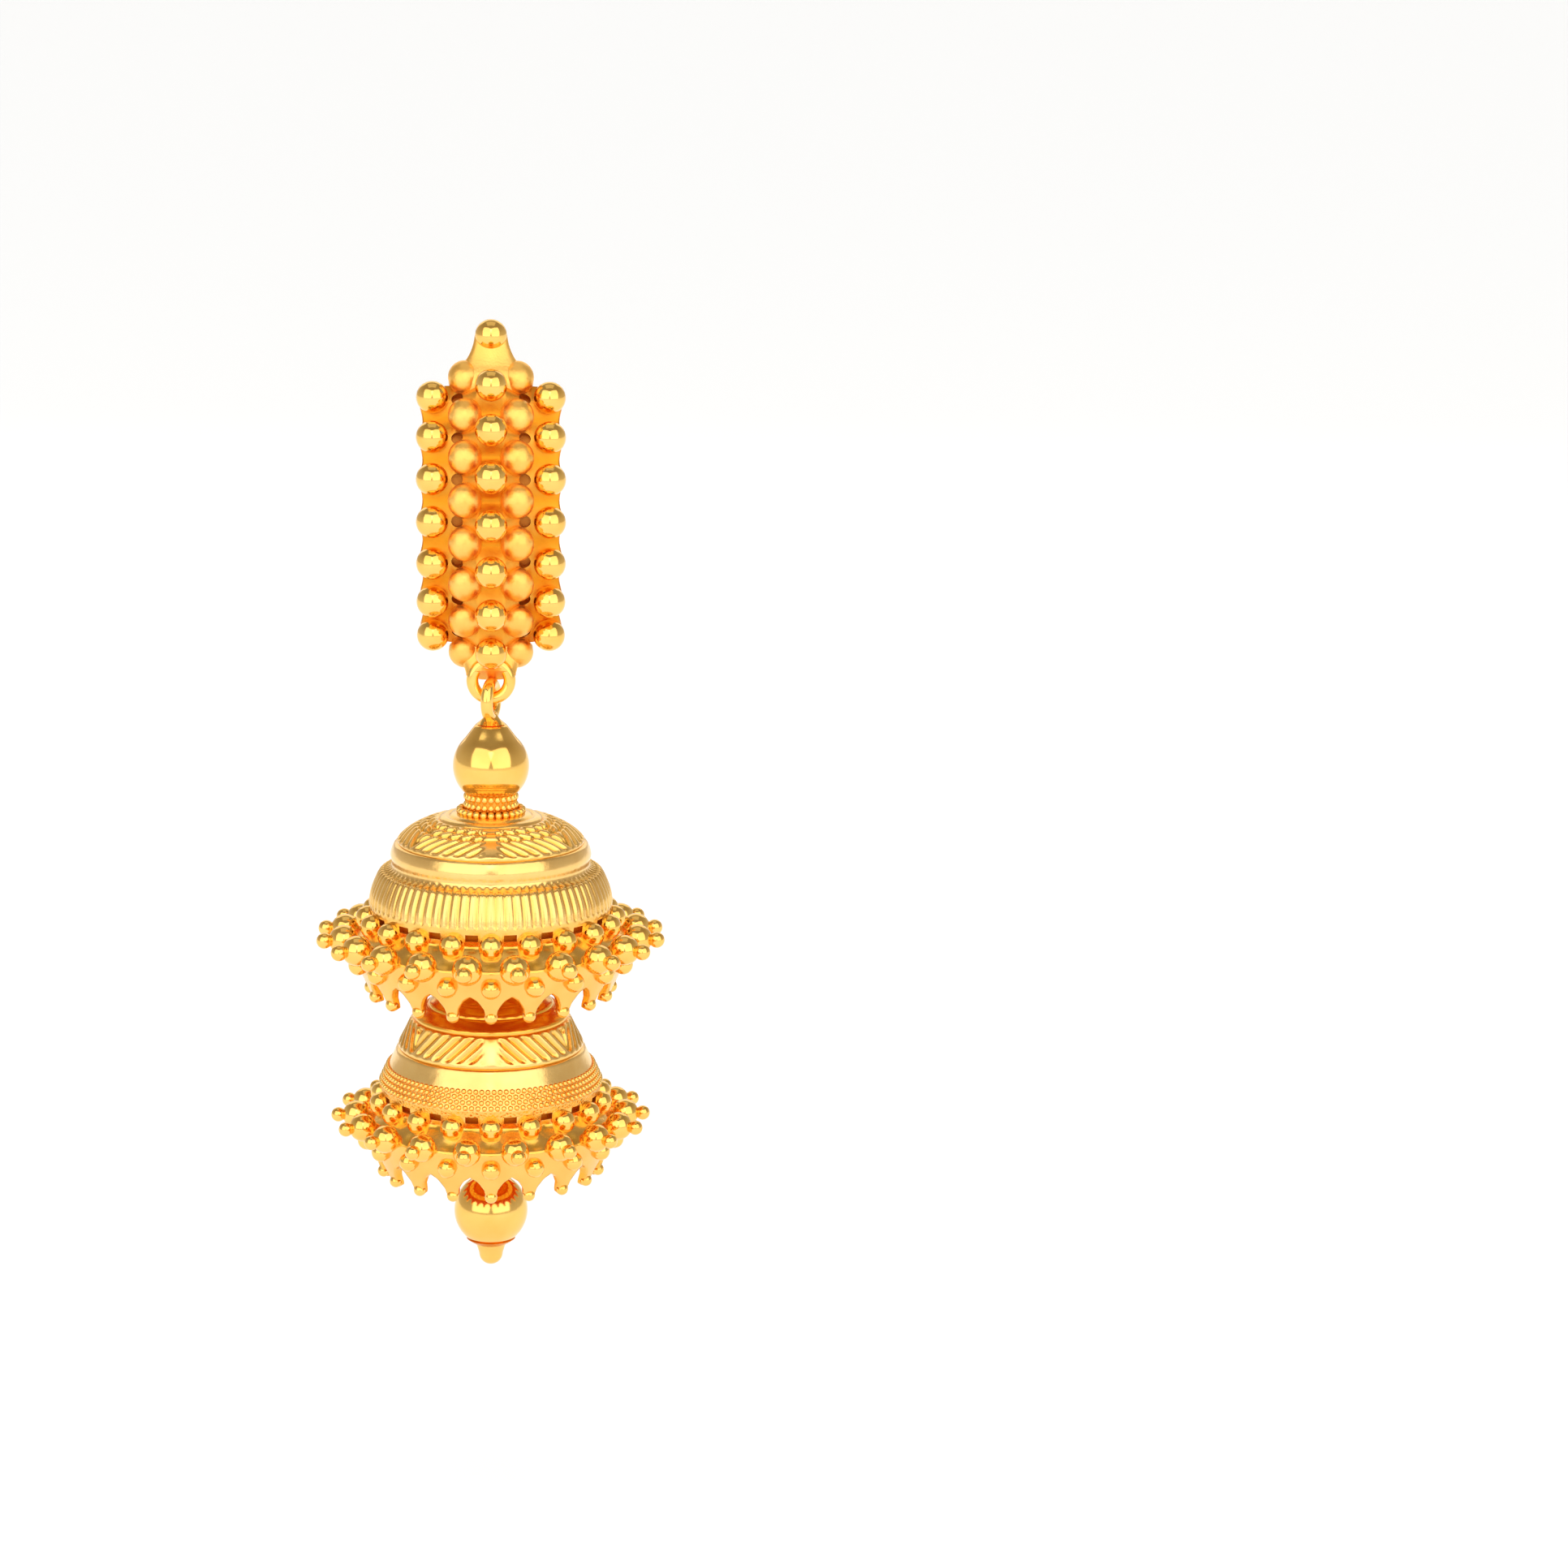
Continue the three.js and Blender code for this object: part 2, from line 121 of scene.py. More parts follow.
@dataclass(frozen=True)
class GoldFinish:
    """One finish of the gold.

    colour and shade are its clean and its cloudy tone; grain_mm and depth_mm are the width and
    depth of its marks.
    """

    name: str
    grain: Grain
    colour: tuple[float, float, float]
    shade: tuple[float, float, float]
    roughness: float
    grain_mm: float
    depth_mm: float

    def material(self) -> bpy.types.Material:
        """Builds the finish once.

        Returns:
            The Blender material, made on the first call and found again after it.
        """
        found = bpy.data.materials.get(self.name)
        if found:
            return found
        material = bpy.data.materials.new(self.name)
        material.use_nodes = True
        nodes, links = material.node_tree.nodes, material.node_tree.links
        metal = nodes["Principled BSDF"]
        metal.inputs["Metallic"].default_value = 1.0
        place = nodes.new("ShaderNodeTexCoord")

        clouds = nodes.new("ShaderNodeTexNoise")
        clouds.inputs["Scale"].default_value = 1 / (1.6 * MM)
        clouds.inputs["Detail"].default_value = 3.0
        tones = nodes.new("ShaderNodeValToRGB")
        tones.color_ramp.elements[0].position = 0.35
        tones.color_ramp.elements[0].color = (*self.shade, 1.0)
        tones.color_ramp.elements[1].position = 0.7
        tones.color_ramp.elements[1].color = (*self.colour, 1.0)
        links.new(place.outputs["Object"], clouds.inputs["Vector"])
        links.new(clouds.outputs["Fac"], tones.inputs["Fac"])
        # The attribute read here multiplies the colour darker: mostly painted shade in recesses, hollows
        # and insides.
        shade_and_patina = nodes.new("ShaderNodeAttribute")
        shade_and_patina.attribute_name = SHADE_AND_PATINA
        deepen = nodes.new("ShaderNodeMix")
        deepen.data_type, deepen.blend_type = "RGBA", "MULTIPLY"
        clean, deep = (s for s in deepen.inputs if s.type == "RGBA")
        deep.default_value = SHADE_AND_PATINA_TONE
        links.new(shade_and_patina.outputs["Fac"], deepen.inputs["Factor"])
        links.new(tones.outputs["Color"], clean)
        tinted = next(s for s in deepen.outputs if s.type == "RGBA")
        links.new(tinted, metal.inputs["Base Color"])

        gloss = nodes.new("ShaderNodeMapRange")
        gloss.inputs["To Min"].default_value = 0.7 * self.roughness
        gloss.inputs["To Max"].default_value = 1.3 * self.roughness
        links.new(clouds.outputs["Fac"], gloss.inputs["Value"])
        links.new(gloss.outputs["Result"], metal.inputs["Roughness"])

        if self.grain is Grain.STIPPLED:
            marks = nodes.new("ShaderNodeTexVoronoi")
            height = marks.outputs["Distance"]
        else:
            marks = nodes.new("ShaderNodeTexNoise")
            marks.inputs["Detail"].default_value = 2.0
            height = marks.outputs["Fac"]
        marks.inputs["Scale"].default_value = 1 / (self.grain_mm * MM)
        bump = nodes.new("ShaderNodeBump")
        bump.inputs["Strength"].default_value = 1.0
        bump.inputs["Distance"].default_value = self.depth_mm * MM
        links.new(place.outputs["Object"], marks.inputs["Vector"])
        links.new(height, bump.inputs["Height"])
        links.new(bump.outputs["Normal"], metal.inputs["Normal"])
        return material


BURNISHED_GOLD = GoldFinish(
    "burnished_gold", Grain.BURNISHED, (1.0, 0.63, 0.17), (0.97, 0.57, 0.13), 0.12, 0.5, 0.003)
CHASED_GOLD = GoldFinish(
    "chased_gold", Grain.BURNISHED, (1.0, 0.67, 0.24), (0.96, 0.6, 0.19), 0.21, 0.45, 0.012)
STIPPLED_GOLD = GoldFinish(
    "stippled_gold", Grain.STIPPLED, (1.0, 0.62, 0.2), (0.92, 0.52, 0.14), 0.24, 0.16, 0.035)
FROSTED_GOLD = GoldFinish(
    "frosted_gold", Grain.FROSTED, (1.0, 0.6, 0.15), (0.95, 0.52, 0.11), 0.36, 0.12, 0.012)
# This gold is deeper than the others: partly the plate's own tone, partly painted shade for the dark
# between the stud's beads.
PLATE_GOLD = GoldFinish(
    "plate_gold", Grain.FROSTED, (0.88, 0.42, 0.06), (0.74, 0.31, 0.04), 0.36, 0.25, 0.012)
# Painted shade: a dark brown gold that stands for the shade inside the stud's pits and the bells' slots.
RECESS_SHADE_GOLD = GoldFinish(
    "recess_shade_gold", Grain.FROSTED, (0.62, 0.24, 0.04), (0.48, 0.17, 0.03), 0.45, 0.2, 0.01)


def node_span(node: str) -> tuple[Vector, Vector]:
    """Lowest and highest corner of a CAD node.

    Args:
        node: The node's name.

    Returns:
        Both corners, in millimetres.
    """
    low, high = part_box(node)
    return low / MM, high / MM


def closed_piece(
    name: str,
    points: Sequence[Sequence[float]],
    faces: Sequence[Sequence[int]],
    finish: GoldFinish,
    crease: float = 50.0,
    shade_and_patina: Sequence[float] | None = None,
) -> bpy.types.Object:
    """Makes a closed mesh whose faces all point outwards.

    Args:
        name: The piece's name.
        points: Its corners, in millimetres.
        faces: The corners of each face.
        finish: Its gold.
        crease: Edges that turn by more than this, in degrees, stay sharp.
        shade_and_patina: For each corner, how deep the gold's tone is, from 0 to 1; it is mostly painted
            shade.

    Returns:
        The piece, at the origin.
    """
    mesh = bpy.data.meshes.new(name)
    mesh.from_pydata((np.asarray(points, float) * MM).tolist(), [], faces)
    mesh.materials.append(finish.material())
    if shade_and_patina is not None:
        # The per-corner tone stored here is mostly painted shade.
        mesh.attributes.new(SHADE_AND_PATINA, "FLOAT", "POINT").data.foreach_set("value", list(shade_and_patina))
    piece = bpy.data.objects.new(name, mesh)
    bpy.context.scene.collection.objects.link(piece)
    turn_outwards(piece, crease)
    return piece


def turn_outwards(piece: bpy.types.Object, crease: float = 50.0) -> None:
    """Merges a piece's doubles, turns its faces outwards and shades it smooth.

    Args:
        piece: The mesh object.
        crease: Edges that turn by more than this, in degrees, stay sharp.
    """
    work = bmesh.new()
    work.from_mesh(piece.data)
    bmesh.ops.remove_doubles(work, verts=work.verts, dist=1e-4 * MM)
    bmesh.ops.recalc_face_normals(work, faces=work.faces)
    if work.calc_volume(signed=True) < 0:
        bmesh.ops.reverse_faces(work, faces=work.faces)
    work.to_mesh(piece.data)
    work.free()
    piece.data.shade_smooth()
    piece.data.set_sharp_from_angle(angle=math.radians(crease))


def turned(outline: Outline, sides: int) -> tuple[list[tuple[float, float, float]], list[list[int]]]:
    """Turns an outline about Z.

    Args:
        outline: Pairs of radius and height; it starts and ends on the axis, or closes on itself.
        sides: Steps round the axis.

    Returns:
        The corners and the faces.
    """
    points: list[tuple[float, float, float]] = []
    rings: list[list[int]] = []
    for radius, height in outline:
        count = 1 if radius < 1e-6 else sides
        rings.append([len(points) + step for step in range(count)] * (sides if count == 1 else 1))
        for step in range(count):
            angle = 2 * math.pi * step / sides
            points.append((radius * math.sin(angle), -radius * math.cos(angle), height))
    pairs = list(zip(rings, rings[1:]))
    if outline[0][0] > 1e-6:
        pairs.append((rings[-1], rings[0]))
    faces = []
    for upper, lower in pairs:
        for step in range(sides):
            after = (step + 1) % sides
            corners = [upper[step], upper[after], lower[after], lower[step]]
            corners = list(dict.fromkeys(corners))
            if len(corners) > 2:
                faces.append(corners)
    return points, faces


def flowing(knots: Outline, spacing: float) -> np.ndarray:
    """Runs a smooth curve through a few knots.

    Args:
        knots: The knots, in order.
        spacing: Distance between the curve's points.

    Returns:
        An array of evenly spaced points, from the first knot to the last.
    """
    given = np.asarray(knots, float)
    steps = np.hypot(*np.diff(given, axis=0).T)
    along = np.concatenate([[0.0], np.cumsum(steps)])
    slopes = np.gradient(given, along, axis=0)
    dense = []
    for i, step in enumerate(steps):
        t = np.linspace(0, 1, 40, endpoint=i == len(steps) - 1)[:, None]
        dense.append(
            (2 * t**3 - 3 * t**2 + 1) * given[i] + (t**3 - 2 * t**2 + t) * step * slopes[i]
            + (3 * t**2 - 2 * t**3) * given[i + 1] + (t**3 - t**2) * step * slopes[i + 1])
    curve = np.concatenate(dense)
    length = np.concatenate([[0.0], np.cumsum(np.hypot(*np.diff(curve, axis=0).T))])
    even = np.linspace(0, length[-1], max(2, round(length[-1] / spacing) + 1))
    return np.column_stack([np.interp(even, length, curve[:, k]) for k in (0, 1)])


def settle(
    piece: bpy.types.Object, body: Body, stands_for: Sequence[str] = ()
) -> bpy.types.Object:
    """Gives a finished piece its body, and hides the nodes that it stands for.

    Args:
        piece: The finished piece.
        body: The body that it rides on.
        stands_for: CAD nodes that it replaces.

    Returns:
        The same piece.
    """
    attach(piece, body.value)
    if stands_for:
        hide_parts(*stands_for)
    log.info("%s: %d faces on %s", piece.name, len(piece.data.polygons), body.value)
    return piece


class ShapeTree:
    """A Geometry Nodes tree with named inputs that makes one kind of repeated shape."""

    def __init__(self, name: str) -> None:
        """Starts an empty tree.

        Args:
            name: The tree's name.
        """
        self.tree = bpy.data.node_groups.new(name, "GeometryNodeTree")
        self.tree.interface.new_socket(
            name="Geometry", in_out="OUTPUT", socket_type="NodeSocketGeometry")
        self.given = self.tree.nodes.new("NodeGroupInput")
        self.keys: dict[str, str] = {}

    def size(self, name: str, kind: str = "NodeSocketFloat") -> bpy.types.NodeSocket:
        """Adds a named input.

        Args:
            name: The input's name.
            kind: The kind of socket.

        Returns:
            The input, as a socket to read from.
        """
        socket = self.tree.interface.new_socket(name=name, in_out="INPUT", socket_type=kind)
        self.keys[name] = socket.identifier
        return self.given.outputs[name]

    def node(
        self, kind: str, links: dict[int | str, object] | None = None, **settings: object
    ) -> bpy.types.Node:
        """Adds a node.

        Args:
            kind: The node's type.
            links: For each input's name or number, a socket to link or a value to set.
            settings: Properties of the node itself.

        Returns:
            The node.
        """
        made = self.tree.nodes.new(kind)
        for key, value in settings.items():
            setattr(made, key, value)
        for key, value in (links or {}).items():
            if isinstance(value, bpy.types.NodeSocket):
                self.tree.links.new(value, made.inputs[key])
            else:
                made.inputs[key].default_value = value
        return made

    def maths(self, operation: str, *terms: object) -> bpy.types.NodeSocket:
        """Adds a Math node.

        Args:
            operation: Its operation.
            terms: Sockets or numbers for its inputs.

        Returns:
            Its result.
        """
        return self.node("ShaderNodeMath", dict(enumerate(terms)), operation=operation).outputs[0]

    def vector(self, x: object, y: object, z: object) -> bpy.types.NodeSocket:
        """Joins three terms to a vector.

        Args:
            x: Socket or number to the side.
            y: Socket or number to the back.
            z: Socket or number upwards.

        Returns:
            The vector.
        """
        return self.node("ShaderNodeCombineXYZ", {0: x, 1: y, 2: z}).outputs[0]

    def bead(self, sides: object, radius: object, scale: object) -> bpy.types.NodeSocket:
        """Makes a bead that may be stretched.

        Args:
            sides: Its steps round.
            radius: Its radius.
            scale: Its stretch along each axis.

        Returns:
            The bead.
        """
        ball = self.node("GeometryNodeMeshUVSphere", {
            "Segments": sides, "Rings": self.maths("DIVIDE", sides, 2), "Radius": radius})
        return self.node("GeometryNodeTransform", {
            "Geometry": ball.outputs[0], "Scale": scale}).outputs[0]

    def close(self, shape: bpy.types.NodeSocket) -> "ShapeTree":
        """Ends the tree: instances made real, shaded smooth, gold set.

        Args:
            shape: The finished geometry.

        Returns:
            The tree itself.
        """
        gold = self.size("Gold", "NodeSocketMaterial")
        real = self.node("GeometryNodeRealizeInstances", {0: shape}).outputs[0]
        smooth = self.node("GeometryNodeSetShadeSmooth", {"Geometry": real}).outputs[0]
        dressed = self.node("GeometryNodeSetMaterial", {"Geometry": smooth, "Material": gold})
        self.node("NodeGroupOutput", {0: dressed.outputs[0]})
        return self

    def grow(self, name: str, finish: GoldFinish, **sizes: float) -> bpy.types.Object:
        """Runs the tree and keeps its result as a plain mesh.

        Args:
            name: The piece's name.
            finish: Its gold.
            sizes: A value for each named input, in its underscored form.

        Returns:
            The piece, at the origin.
        """
        mesh = bpy.data.meshes.new(name)
        piece = bpy.data.objects.new(name, mesh)
        bpy.context.scene.collection.objects.link(piece)
        growth = piece.modifiers.new("growth", "NODES")
        growth.node_group = self.tree
        growth[self.keys["Gold"]] = finish.material()
        for key, value in sizes.items():
            growth[self.keys[key.replace("_", " ")]] = value
        state = bpy.context.evaluated_depsgraph_get()
        grown = bpy.data.meshes.new_from_object(piece.evaluated_get(state))
        piece.modifiers.clear()
        piece.data = grown
        grown.name = name
        bpy.data.meshes.remove(mesh)
        turn_outwards(piece)
        return piece


def round_row_tree() -> ShapeTree:
    """Tree for a row of beads round the drop.

    Returns:
        The tree. Its inputs are the bead count, the row's radius, height and phase, the bead's
        radius and stretch, its sides, and how far back the axis is.
    """
    tree = ShapeTree("round_row")
    count, sides = tree.size("Count", "NodeSocketInt"), tree.size("Sides", "NodeSocketInt")
    row, height, phase = tree.size("Row"), tree.size("Height"), tree.size("Phase")
    bead, stretch, back = tree.size("Bead"), tree.size("Stretch"), tree.size("Back")
    index = tree.node("GeometryNodeInputIndex").outputs[0]
    share = tree.maths("DIVIDE", tree.maths("ADD", index, phase), count)
    angle = tree.maths("MULTIPLY", share, 2 * math.pi)
    place = tree.vector(
        tree.maths("MULTIPLY", row, tree.maths("SINE", angle)),
        tree.maths("SUBTRACT", back, tree.maths("MULTIPLY", row, tree.maths("COSINE", angle))),
        height)
    points = tree.node("GeometryNodePoints", {"Count": count, "Position": place}).outputs[0]
    shaped = tree.bead(sides, bead, tree.vector(1.0, 1.0, stretch))
    set_out = tree.node(
        "GeometryNodeInstanceOnPoints", {"Points": points, "Instance": shaped}).outputs[0]
    return tree.close(set_out)


def arc_row_tree() -> ShapeTree:
    """Tree for rows of beads along the stud's arc.

    Returns:
        The tree. Its inputs are the beads in a row, the number of rows, the turn from bead to
        bead, the first turn, the radius of the beads' arc, the rows' side, the bead's radius and
        sides, its depth and length as shares of that radius, and the arc's centre.
    """
    tree = ShapeTree("arc_row")
    count, rows = tree.size("Count", "NodeSocketInt"), tree.size("Rows", "NodeSocketInt")
    sides = tree.size("Sides", "NodeSocketInt")
    turn, start, arc = tree.size("Turn"), tree.size("Start"), tree.size("Arc")
    side, bead = tree.size("Side"), tree.size("Bead")
    depth, length = tree.size("Depth"), tree.size("Length")
    back, level = tree.size("Back"), tree.size("Level")
    index = tree.node("GeometryNodeInputIndex").outputs[0]
    step = tree.maths("FLOOR", tree.maths("DIVIDE", index, rows))
    hand = tree.maths("MULTIPLY_ADD", tree.maths("MODULO", index, rows), 2.0, -1.0)
    angle = tree.maths("MULTIPLY_ADD", step, turn, start)
    place = tree.vector(
        tree.maths("MULTIPLY", hand, side),
        tree.maths("SUBTRACT", back, tree.maths("MULTIPLY", arc, tree.maths("COSINE", angle))),
        tree.maths("MULTIPLY_ADD", arc, tree.maths("SINE", angle), level))
    points = tree.node("GeometryNodePoints", {
        "Count": tree.maths("MULTIPLY", count, rows), "Position": place}).outputs[0]
    shaped = tree.bead(sides, bead, tree.vector(1.0, depth, length))
    lean = tree.node("FunctionNodeEulerToRotation", {
        0: tree.vector(tree.maths("MULTIPLY", angle, -1.0), 0.0, 0.0)}).outputs[0]
    set_out = tree.node("GeometryNodeInstanceOnPoints", {
        "Points": points, "Instance": shaped, "Rotation": lean}).outputs[0]
    return tree.close(set_out)


def wire_ring_tree() -> ShapeTree:
    """Tree for a closed ring of round wire that stands upright.

    Returns:
        The tree. Its inputs are the ring's radius, the wire's radius, the yaw of the ring's hole
        from the front, and the ring's centre.
    """
    tree = ShapeTree("wire_ring")
    radius, wire, yaw = tree.size("Radius"), tree.size("Wire"), tree.size("Yaw")
    back, level = tree.size("Back"), tree.size("Level")
    path = tree.node(
        "GeometryNodeCurvePrimitiveCircle", {"Resolution": RING_STEPS, "Radius": radius}).outputs[0]
    section = tree.node(
        "GeometryNodeCurvePrimitiveCircle", {"Resolution": WIRE_STEPS, "Radius": wire}).outputs[0]
    ring = tree.node(
        "GeometryNodeCurveToMesh", {"Curve": path, "Profile Curve": section}).outputs[0]
    upright = tree.node(
        "FunctionNodeEulerToRotation", {0: tree.vector(math.pi / 2, 0.0, yaw)}).outputs[0]
    stood = tree.node("GeometryNodeTransform", {
        "Geometry": ring, "Rotation": upright, "Translation": tree.vector(0.0, back, level)})
    return tree.close(stood.outputs[0])


def burnished_ball_tree() -> ShapeTree:
    """Tree for a ball that is drawn up to a neck, by one rule from its top to its foot.

    Returns:
        The tree. Its inputs are the ball's radius, how far its neck is lifted, the waist where
        the lift starts, the angles of its neck and foot from the top, and its place.
    """
    tree = ShapeTree("burnished_ball")
    radius, lift, waist = tree.size("Radius"), tree.size("Lift"), tree.size("Waist")
    neck, foot = tree.size("Neck"), tree.size("Foot")
    back, level = tree.size("Back"), tree.size("Level")
    sides, rows = 64, 48
    grid = tree.node("GeometryNodeMeshGrid", {
        "Size X": 1.0, "Size Y": 1.0, "Vertices X": sides + 1, "Vertices Y": rows}).outputs[0]
    spot = tree.node("ShaderNodeSeparateXYZ", {
        0: tree.node("GeometryNodeInputPosition").outputs[0]})
    round_share = tree.maths("ADD", spot.outputs[0], 0.5)
    down = tree.maths("ADD", spot.outputs[1], 0.5)
    inner = rows - 3
    share = tree.node("ShaderNodeClamp", {
        "Value": tree.maths("DIVIDE", tree.maths("MULTIPLY_ADD", down, rows - 1, -1.0), inner),
    }).outputs[0]
    polar = tree.maths("MULTIPLY_ADD", share, tree.maths("SUBTRACT", foot, neck), neck)
    edge = 0.5 / rows
    shown = tree.maths("MULTIPLY", tree.maths("GREATER_THAN", down, edge),
                       tree.maths("LESS_THAN", down, 1 - edge))
    out = tree.maths("MULTIPLY", shown,
                     tree.maths("MULTIPLY", radius, tree.maths("SINE", polar)))
    cosine = tree.maths("COSINE", polar)
    above = tree.maths("MAXIMUM", tree.maths("SUBTRACT", cosine, waist), 0.0)
    drawn = tree.maths("POWER", tree.maths(
        "DIVIDE", above, tree.maths("SUBTRACT", 1.0, waist)), 2.0)
    height = tree.maths(
        "ADD", tree.maths("MULTIPLY_ADD", radius, cosine, level),
        tree.maths("MULTIPLY", lift, drawn))
    angle = tree.maths("MULTIPLY", round_share, 2 * math.pi)
    place = tree.vector(
        tree.maths("MULTIPLY", out, tree.maths("SINE", angle)),
        tree.maths("SUBTRACT", back, tree.maths("MULTIPLY", out, tree.maths("COSINE", angle))),
        height)
    moved = tree.node(
        "GeometryNodeSetPosition", {"Geometry": grid, "Position": place}).outputs[0]
    merged = tree.node(
        "GeometryNodeMergeByDistance", {"Geometry": moved, "Distance": 1e-4 * MM}).outputs[0]
    return tree.close(merged)


@dataclass(frozen=True)
class Trees:
    """The four trees, built once."""

    round_row: ShapeTree
    arc_row: ShapeTree
    wire_ring: ShapeTree
    ball: ShapeTree


@dataclass(frozen=True)
class Stud:
    """The curved stud: plate, granules, domes, necks, ring and ear post. Turns are in degrees."""

    trees: Trees
    back_radius: float = 10.7
    plate_wall: float = 0.6
    plate_half_width: float = 3.8
    ridge_rise: float = 1.0
    ridge_half_width: float = 0.7
    ridge_foot_half_width: float = 1.93
    overrun_turn: float = 4.5
    rows: int = 7
    row_turn: float = 11.2
    bead_radius: float = 0.86
    edge_bead_inset: float = 0.68
    edge_bead_sink: float = 0.57
    ridge_bead_sink: float = 0.16
    dome_radius: float = 0.9
    dome_offset: float = 1.39
    dome_sink: float = 0.45
    dome_depth_share: float = 0.86
    dome_length_share: float = 1.06
    hole_radius: float = 0.31
    hole_offset: float = 1.8
    hole_floor: float = 0.22
    notch_share: float = 0.55
    scallop: float = 0.16
    edge_dip: float = 0.3
    neck_half_width: float = 2.3
    neck_depth_share: float = 0.42
    tip_turn: float = 48.2
    tip_arc_radius: float = 12.9
    rise: float = 4.444
    seat_proud: float = 0.6
    seat_radius: float = 0.95
    seat_gap: float = 0.05
    ring_turn: float = -41.7
    ring_arc_radius: float = 13.29
    ring_radius: float = 1.0
    ring_wire_radius: float = 0.33
    ring_neck_gap: float = 0.28
    post_radius: float = 0.45
    post_length: float = 11.0
    post_foot_radius: float = 0.85
    post_foot_wall: float = 0.35
    post_groove_depth: float = 0.1
    post_groove_inset: float = 2.0
    edge_round: float = 0.14

    PLATE_STATIONS = 145
    PLATE_CREASE = 35
    HOLE_SIDES = 24
    FLARE = ((0.3, -0.45), (0.75, -0.3), (0.97, -0.1), (0.8, 0.1), (0.5, 0.3), (0.24, 0.52),
             (0.06, 0.8), (0.0, 1.0))
    FLARE_SPACING = 0.12
    POST_FLARE = ((1.25, 1.5), (1.0, 2.0))
    POST_END_STEPS = 10
    GROOVE_STEPS = 17

    @property
    def top(self) -> float:
        """Radius of the plate's front."""
        return self.back_radius + self.plate_wall

    @property
    def centre(self) -> Vector:
        """Centre of the plate's arc."""
        across = math.sqrt(self.back_radius**2 - self.rise**2)
        return Vector((0, across - self.seat_proud, -self.rise))

    def on_arc(self, turn: float, radius: float, side: float = 0.0) -> Vector:
        """Point on an arc about the plate's centre.

        Args:
            turn: Turn above the level.
            radius: Distance from the centre.
            side: Distance to the side.

        Returns:
            The point.
        """
        angle = math.radians(turn)
        return self.centre + Vector((side, -radius * math.cos(angle), radius * math.sin(angle)))

    def plate(self) -> bpy.types.Object:
        """Sweeps the ridged section along the arc and drills the plate.

        Between two rows of beads the ridge is notched and the edges are scalloped.

        Returns:
            The plate.
        """
        half = [
            (0.0, self.top + self.ridge_rise),
            (self.ridge_half_width, self.top + self.ridge_rise),
            (self.ridge_foot_half_width, self.top),
            (self.plate_half_width, self.top),
            (self.plate_half_width, self.back_radius),
        ]
        corners = half[1:] + [(-x, radius) for x, radius in reversed(half[1:])]
        section: list[tuple[float, float]] = []
        for i, corner in enumerate(corners):
            here = Vector(corner)
            before, after = Vector(corners[i - 1]), Vector(corners[(i + 1) % len(corners)])
            start = here + (before - here).normalized() * self.edge_round
            end = here + (after - here).normalized() * self.edge_round
            for t in (0, 0.25, 0.5, 0.75, 1):
                section.append(tuple((1 - t) ** 2 * start + 2 * t * (1 - t) * here + t * t * end))
        end_turn = (self.rows - 1) / 2 * self.row_turn + self.overrun_turn
        stations = np.linspace(-end_turn, end_turn, self.PLATE_STATIONS)
        points, shade_and_patina = [], []
        for turn in stations:
            between = math.sin(math.pi * turn / self.row_turn) ** 2
            for x, radius in section:
                proud = max(radius - self.top, 0.0)
                edge = min(max(abs(x) - self.hole_offset, 0.0) / 2, 1.0)
                front = radius > self.top - self.plate_wall / 2
                sunk = proud * self.notch_share + self.edge_dip * edge * front
                points.append(self.on_arc(
                    turn, radius - sunk * between,
                    x - math.copysign(self.scallop * edge * between, x)))
                # Painted shade: the plate's front darkens between two rows of beads.
                shade_and_patina.append(between * front)
        size = len(section)
        faces = [
            [s * size + k, s * size + (k + 1) % size,
             (s + 1) * size + (k + 1) % size, (s + 1) * size + k]
            for s in range(len(stations) - 1) for k in range(size)
        ]
        faces.append(list(range(size)))
        faces.append([(len(stations) - 1) * size + k for k in range(size)])
        plate = closed_piece(
            "stud_sheet", points, faces, PLATE_GOLD, self.PLATE_CREASE, shade_and_patina)
        self.pierce(plate)
        return plate

    def pierce(self, plate: bpy.types.Object) -> None:
        """Drills the blind holes between the edge beads and the domes.

        Args:
            plate: The swept plate.
        """
        points: list[Vector] = []
        faces: list[list[int]] = []
        half = (self.rows - 1) / 2
        inner, outer = self.back_radius + self.hole_floor, self.top + 2 * self.ridge_rise
        sides = self.HOLE_SIDES
        for row in np.arange(-half, half + 1):
            for hand in (-1, 1):
                turn = float(row) * self.row_turn
                upward = self.on_arc(turn + 90, 1) - self.centre
                first = len(points)
                for radius in (inner, outer):
                    middle = self.on_arc(turn, radius, hand * self.hole_offset)
                    for step in range(sides):
                        angle = 2 * math.pi * step / sides
                        points.append(middle + self.hole_radius * (
                            Vector((math.cos(angle), 0, 0)) + upward * math.sin(angle)))
                faces += [[first + k, first + (k + 1) % sides,
                           first + sides + (k + 1) % sides, first + sides + k]
                          for k in range(sides)]
                faces.append([first + k for k in range(sides)])
                faces.append([first + sides + k for k in range(sides)])
        # The drill's painted-shade gold passes to the pit walls that it cuts.
        drill = closed_piece("drill", points, faces, RECESS_SHADE_GOLD)
        cut = plate.modifiers.new("cut", "BOOLEAN")
        cut.operation, cut.solver, cut.object = "DIFFERENCE", "EXACT", drill
        cut.material_mode = "TRANSFER"
        state = bpy.context.evaluated_depsgraph_get()
        pierced = bpy.data.meshes.new_from_object(plate.evaluated_get(state))
        plate.modifiers.clear()
        plate.data = pierced
        bpy.data.objects.remove(drill)
        turn_outwards(plate, self.PLATE_CREASE)

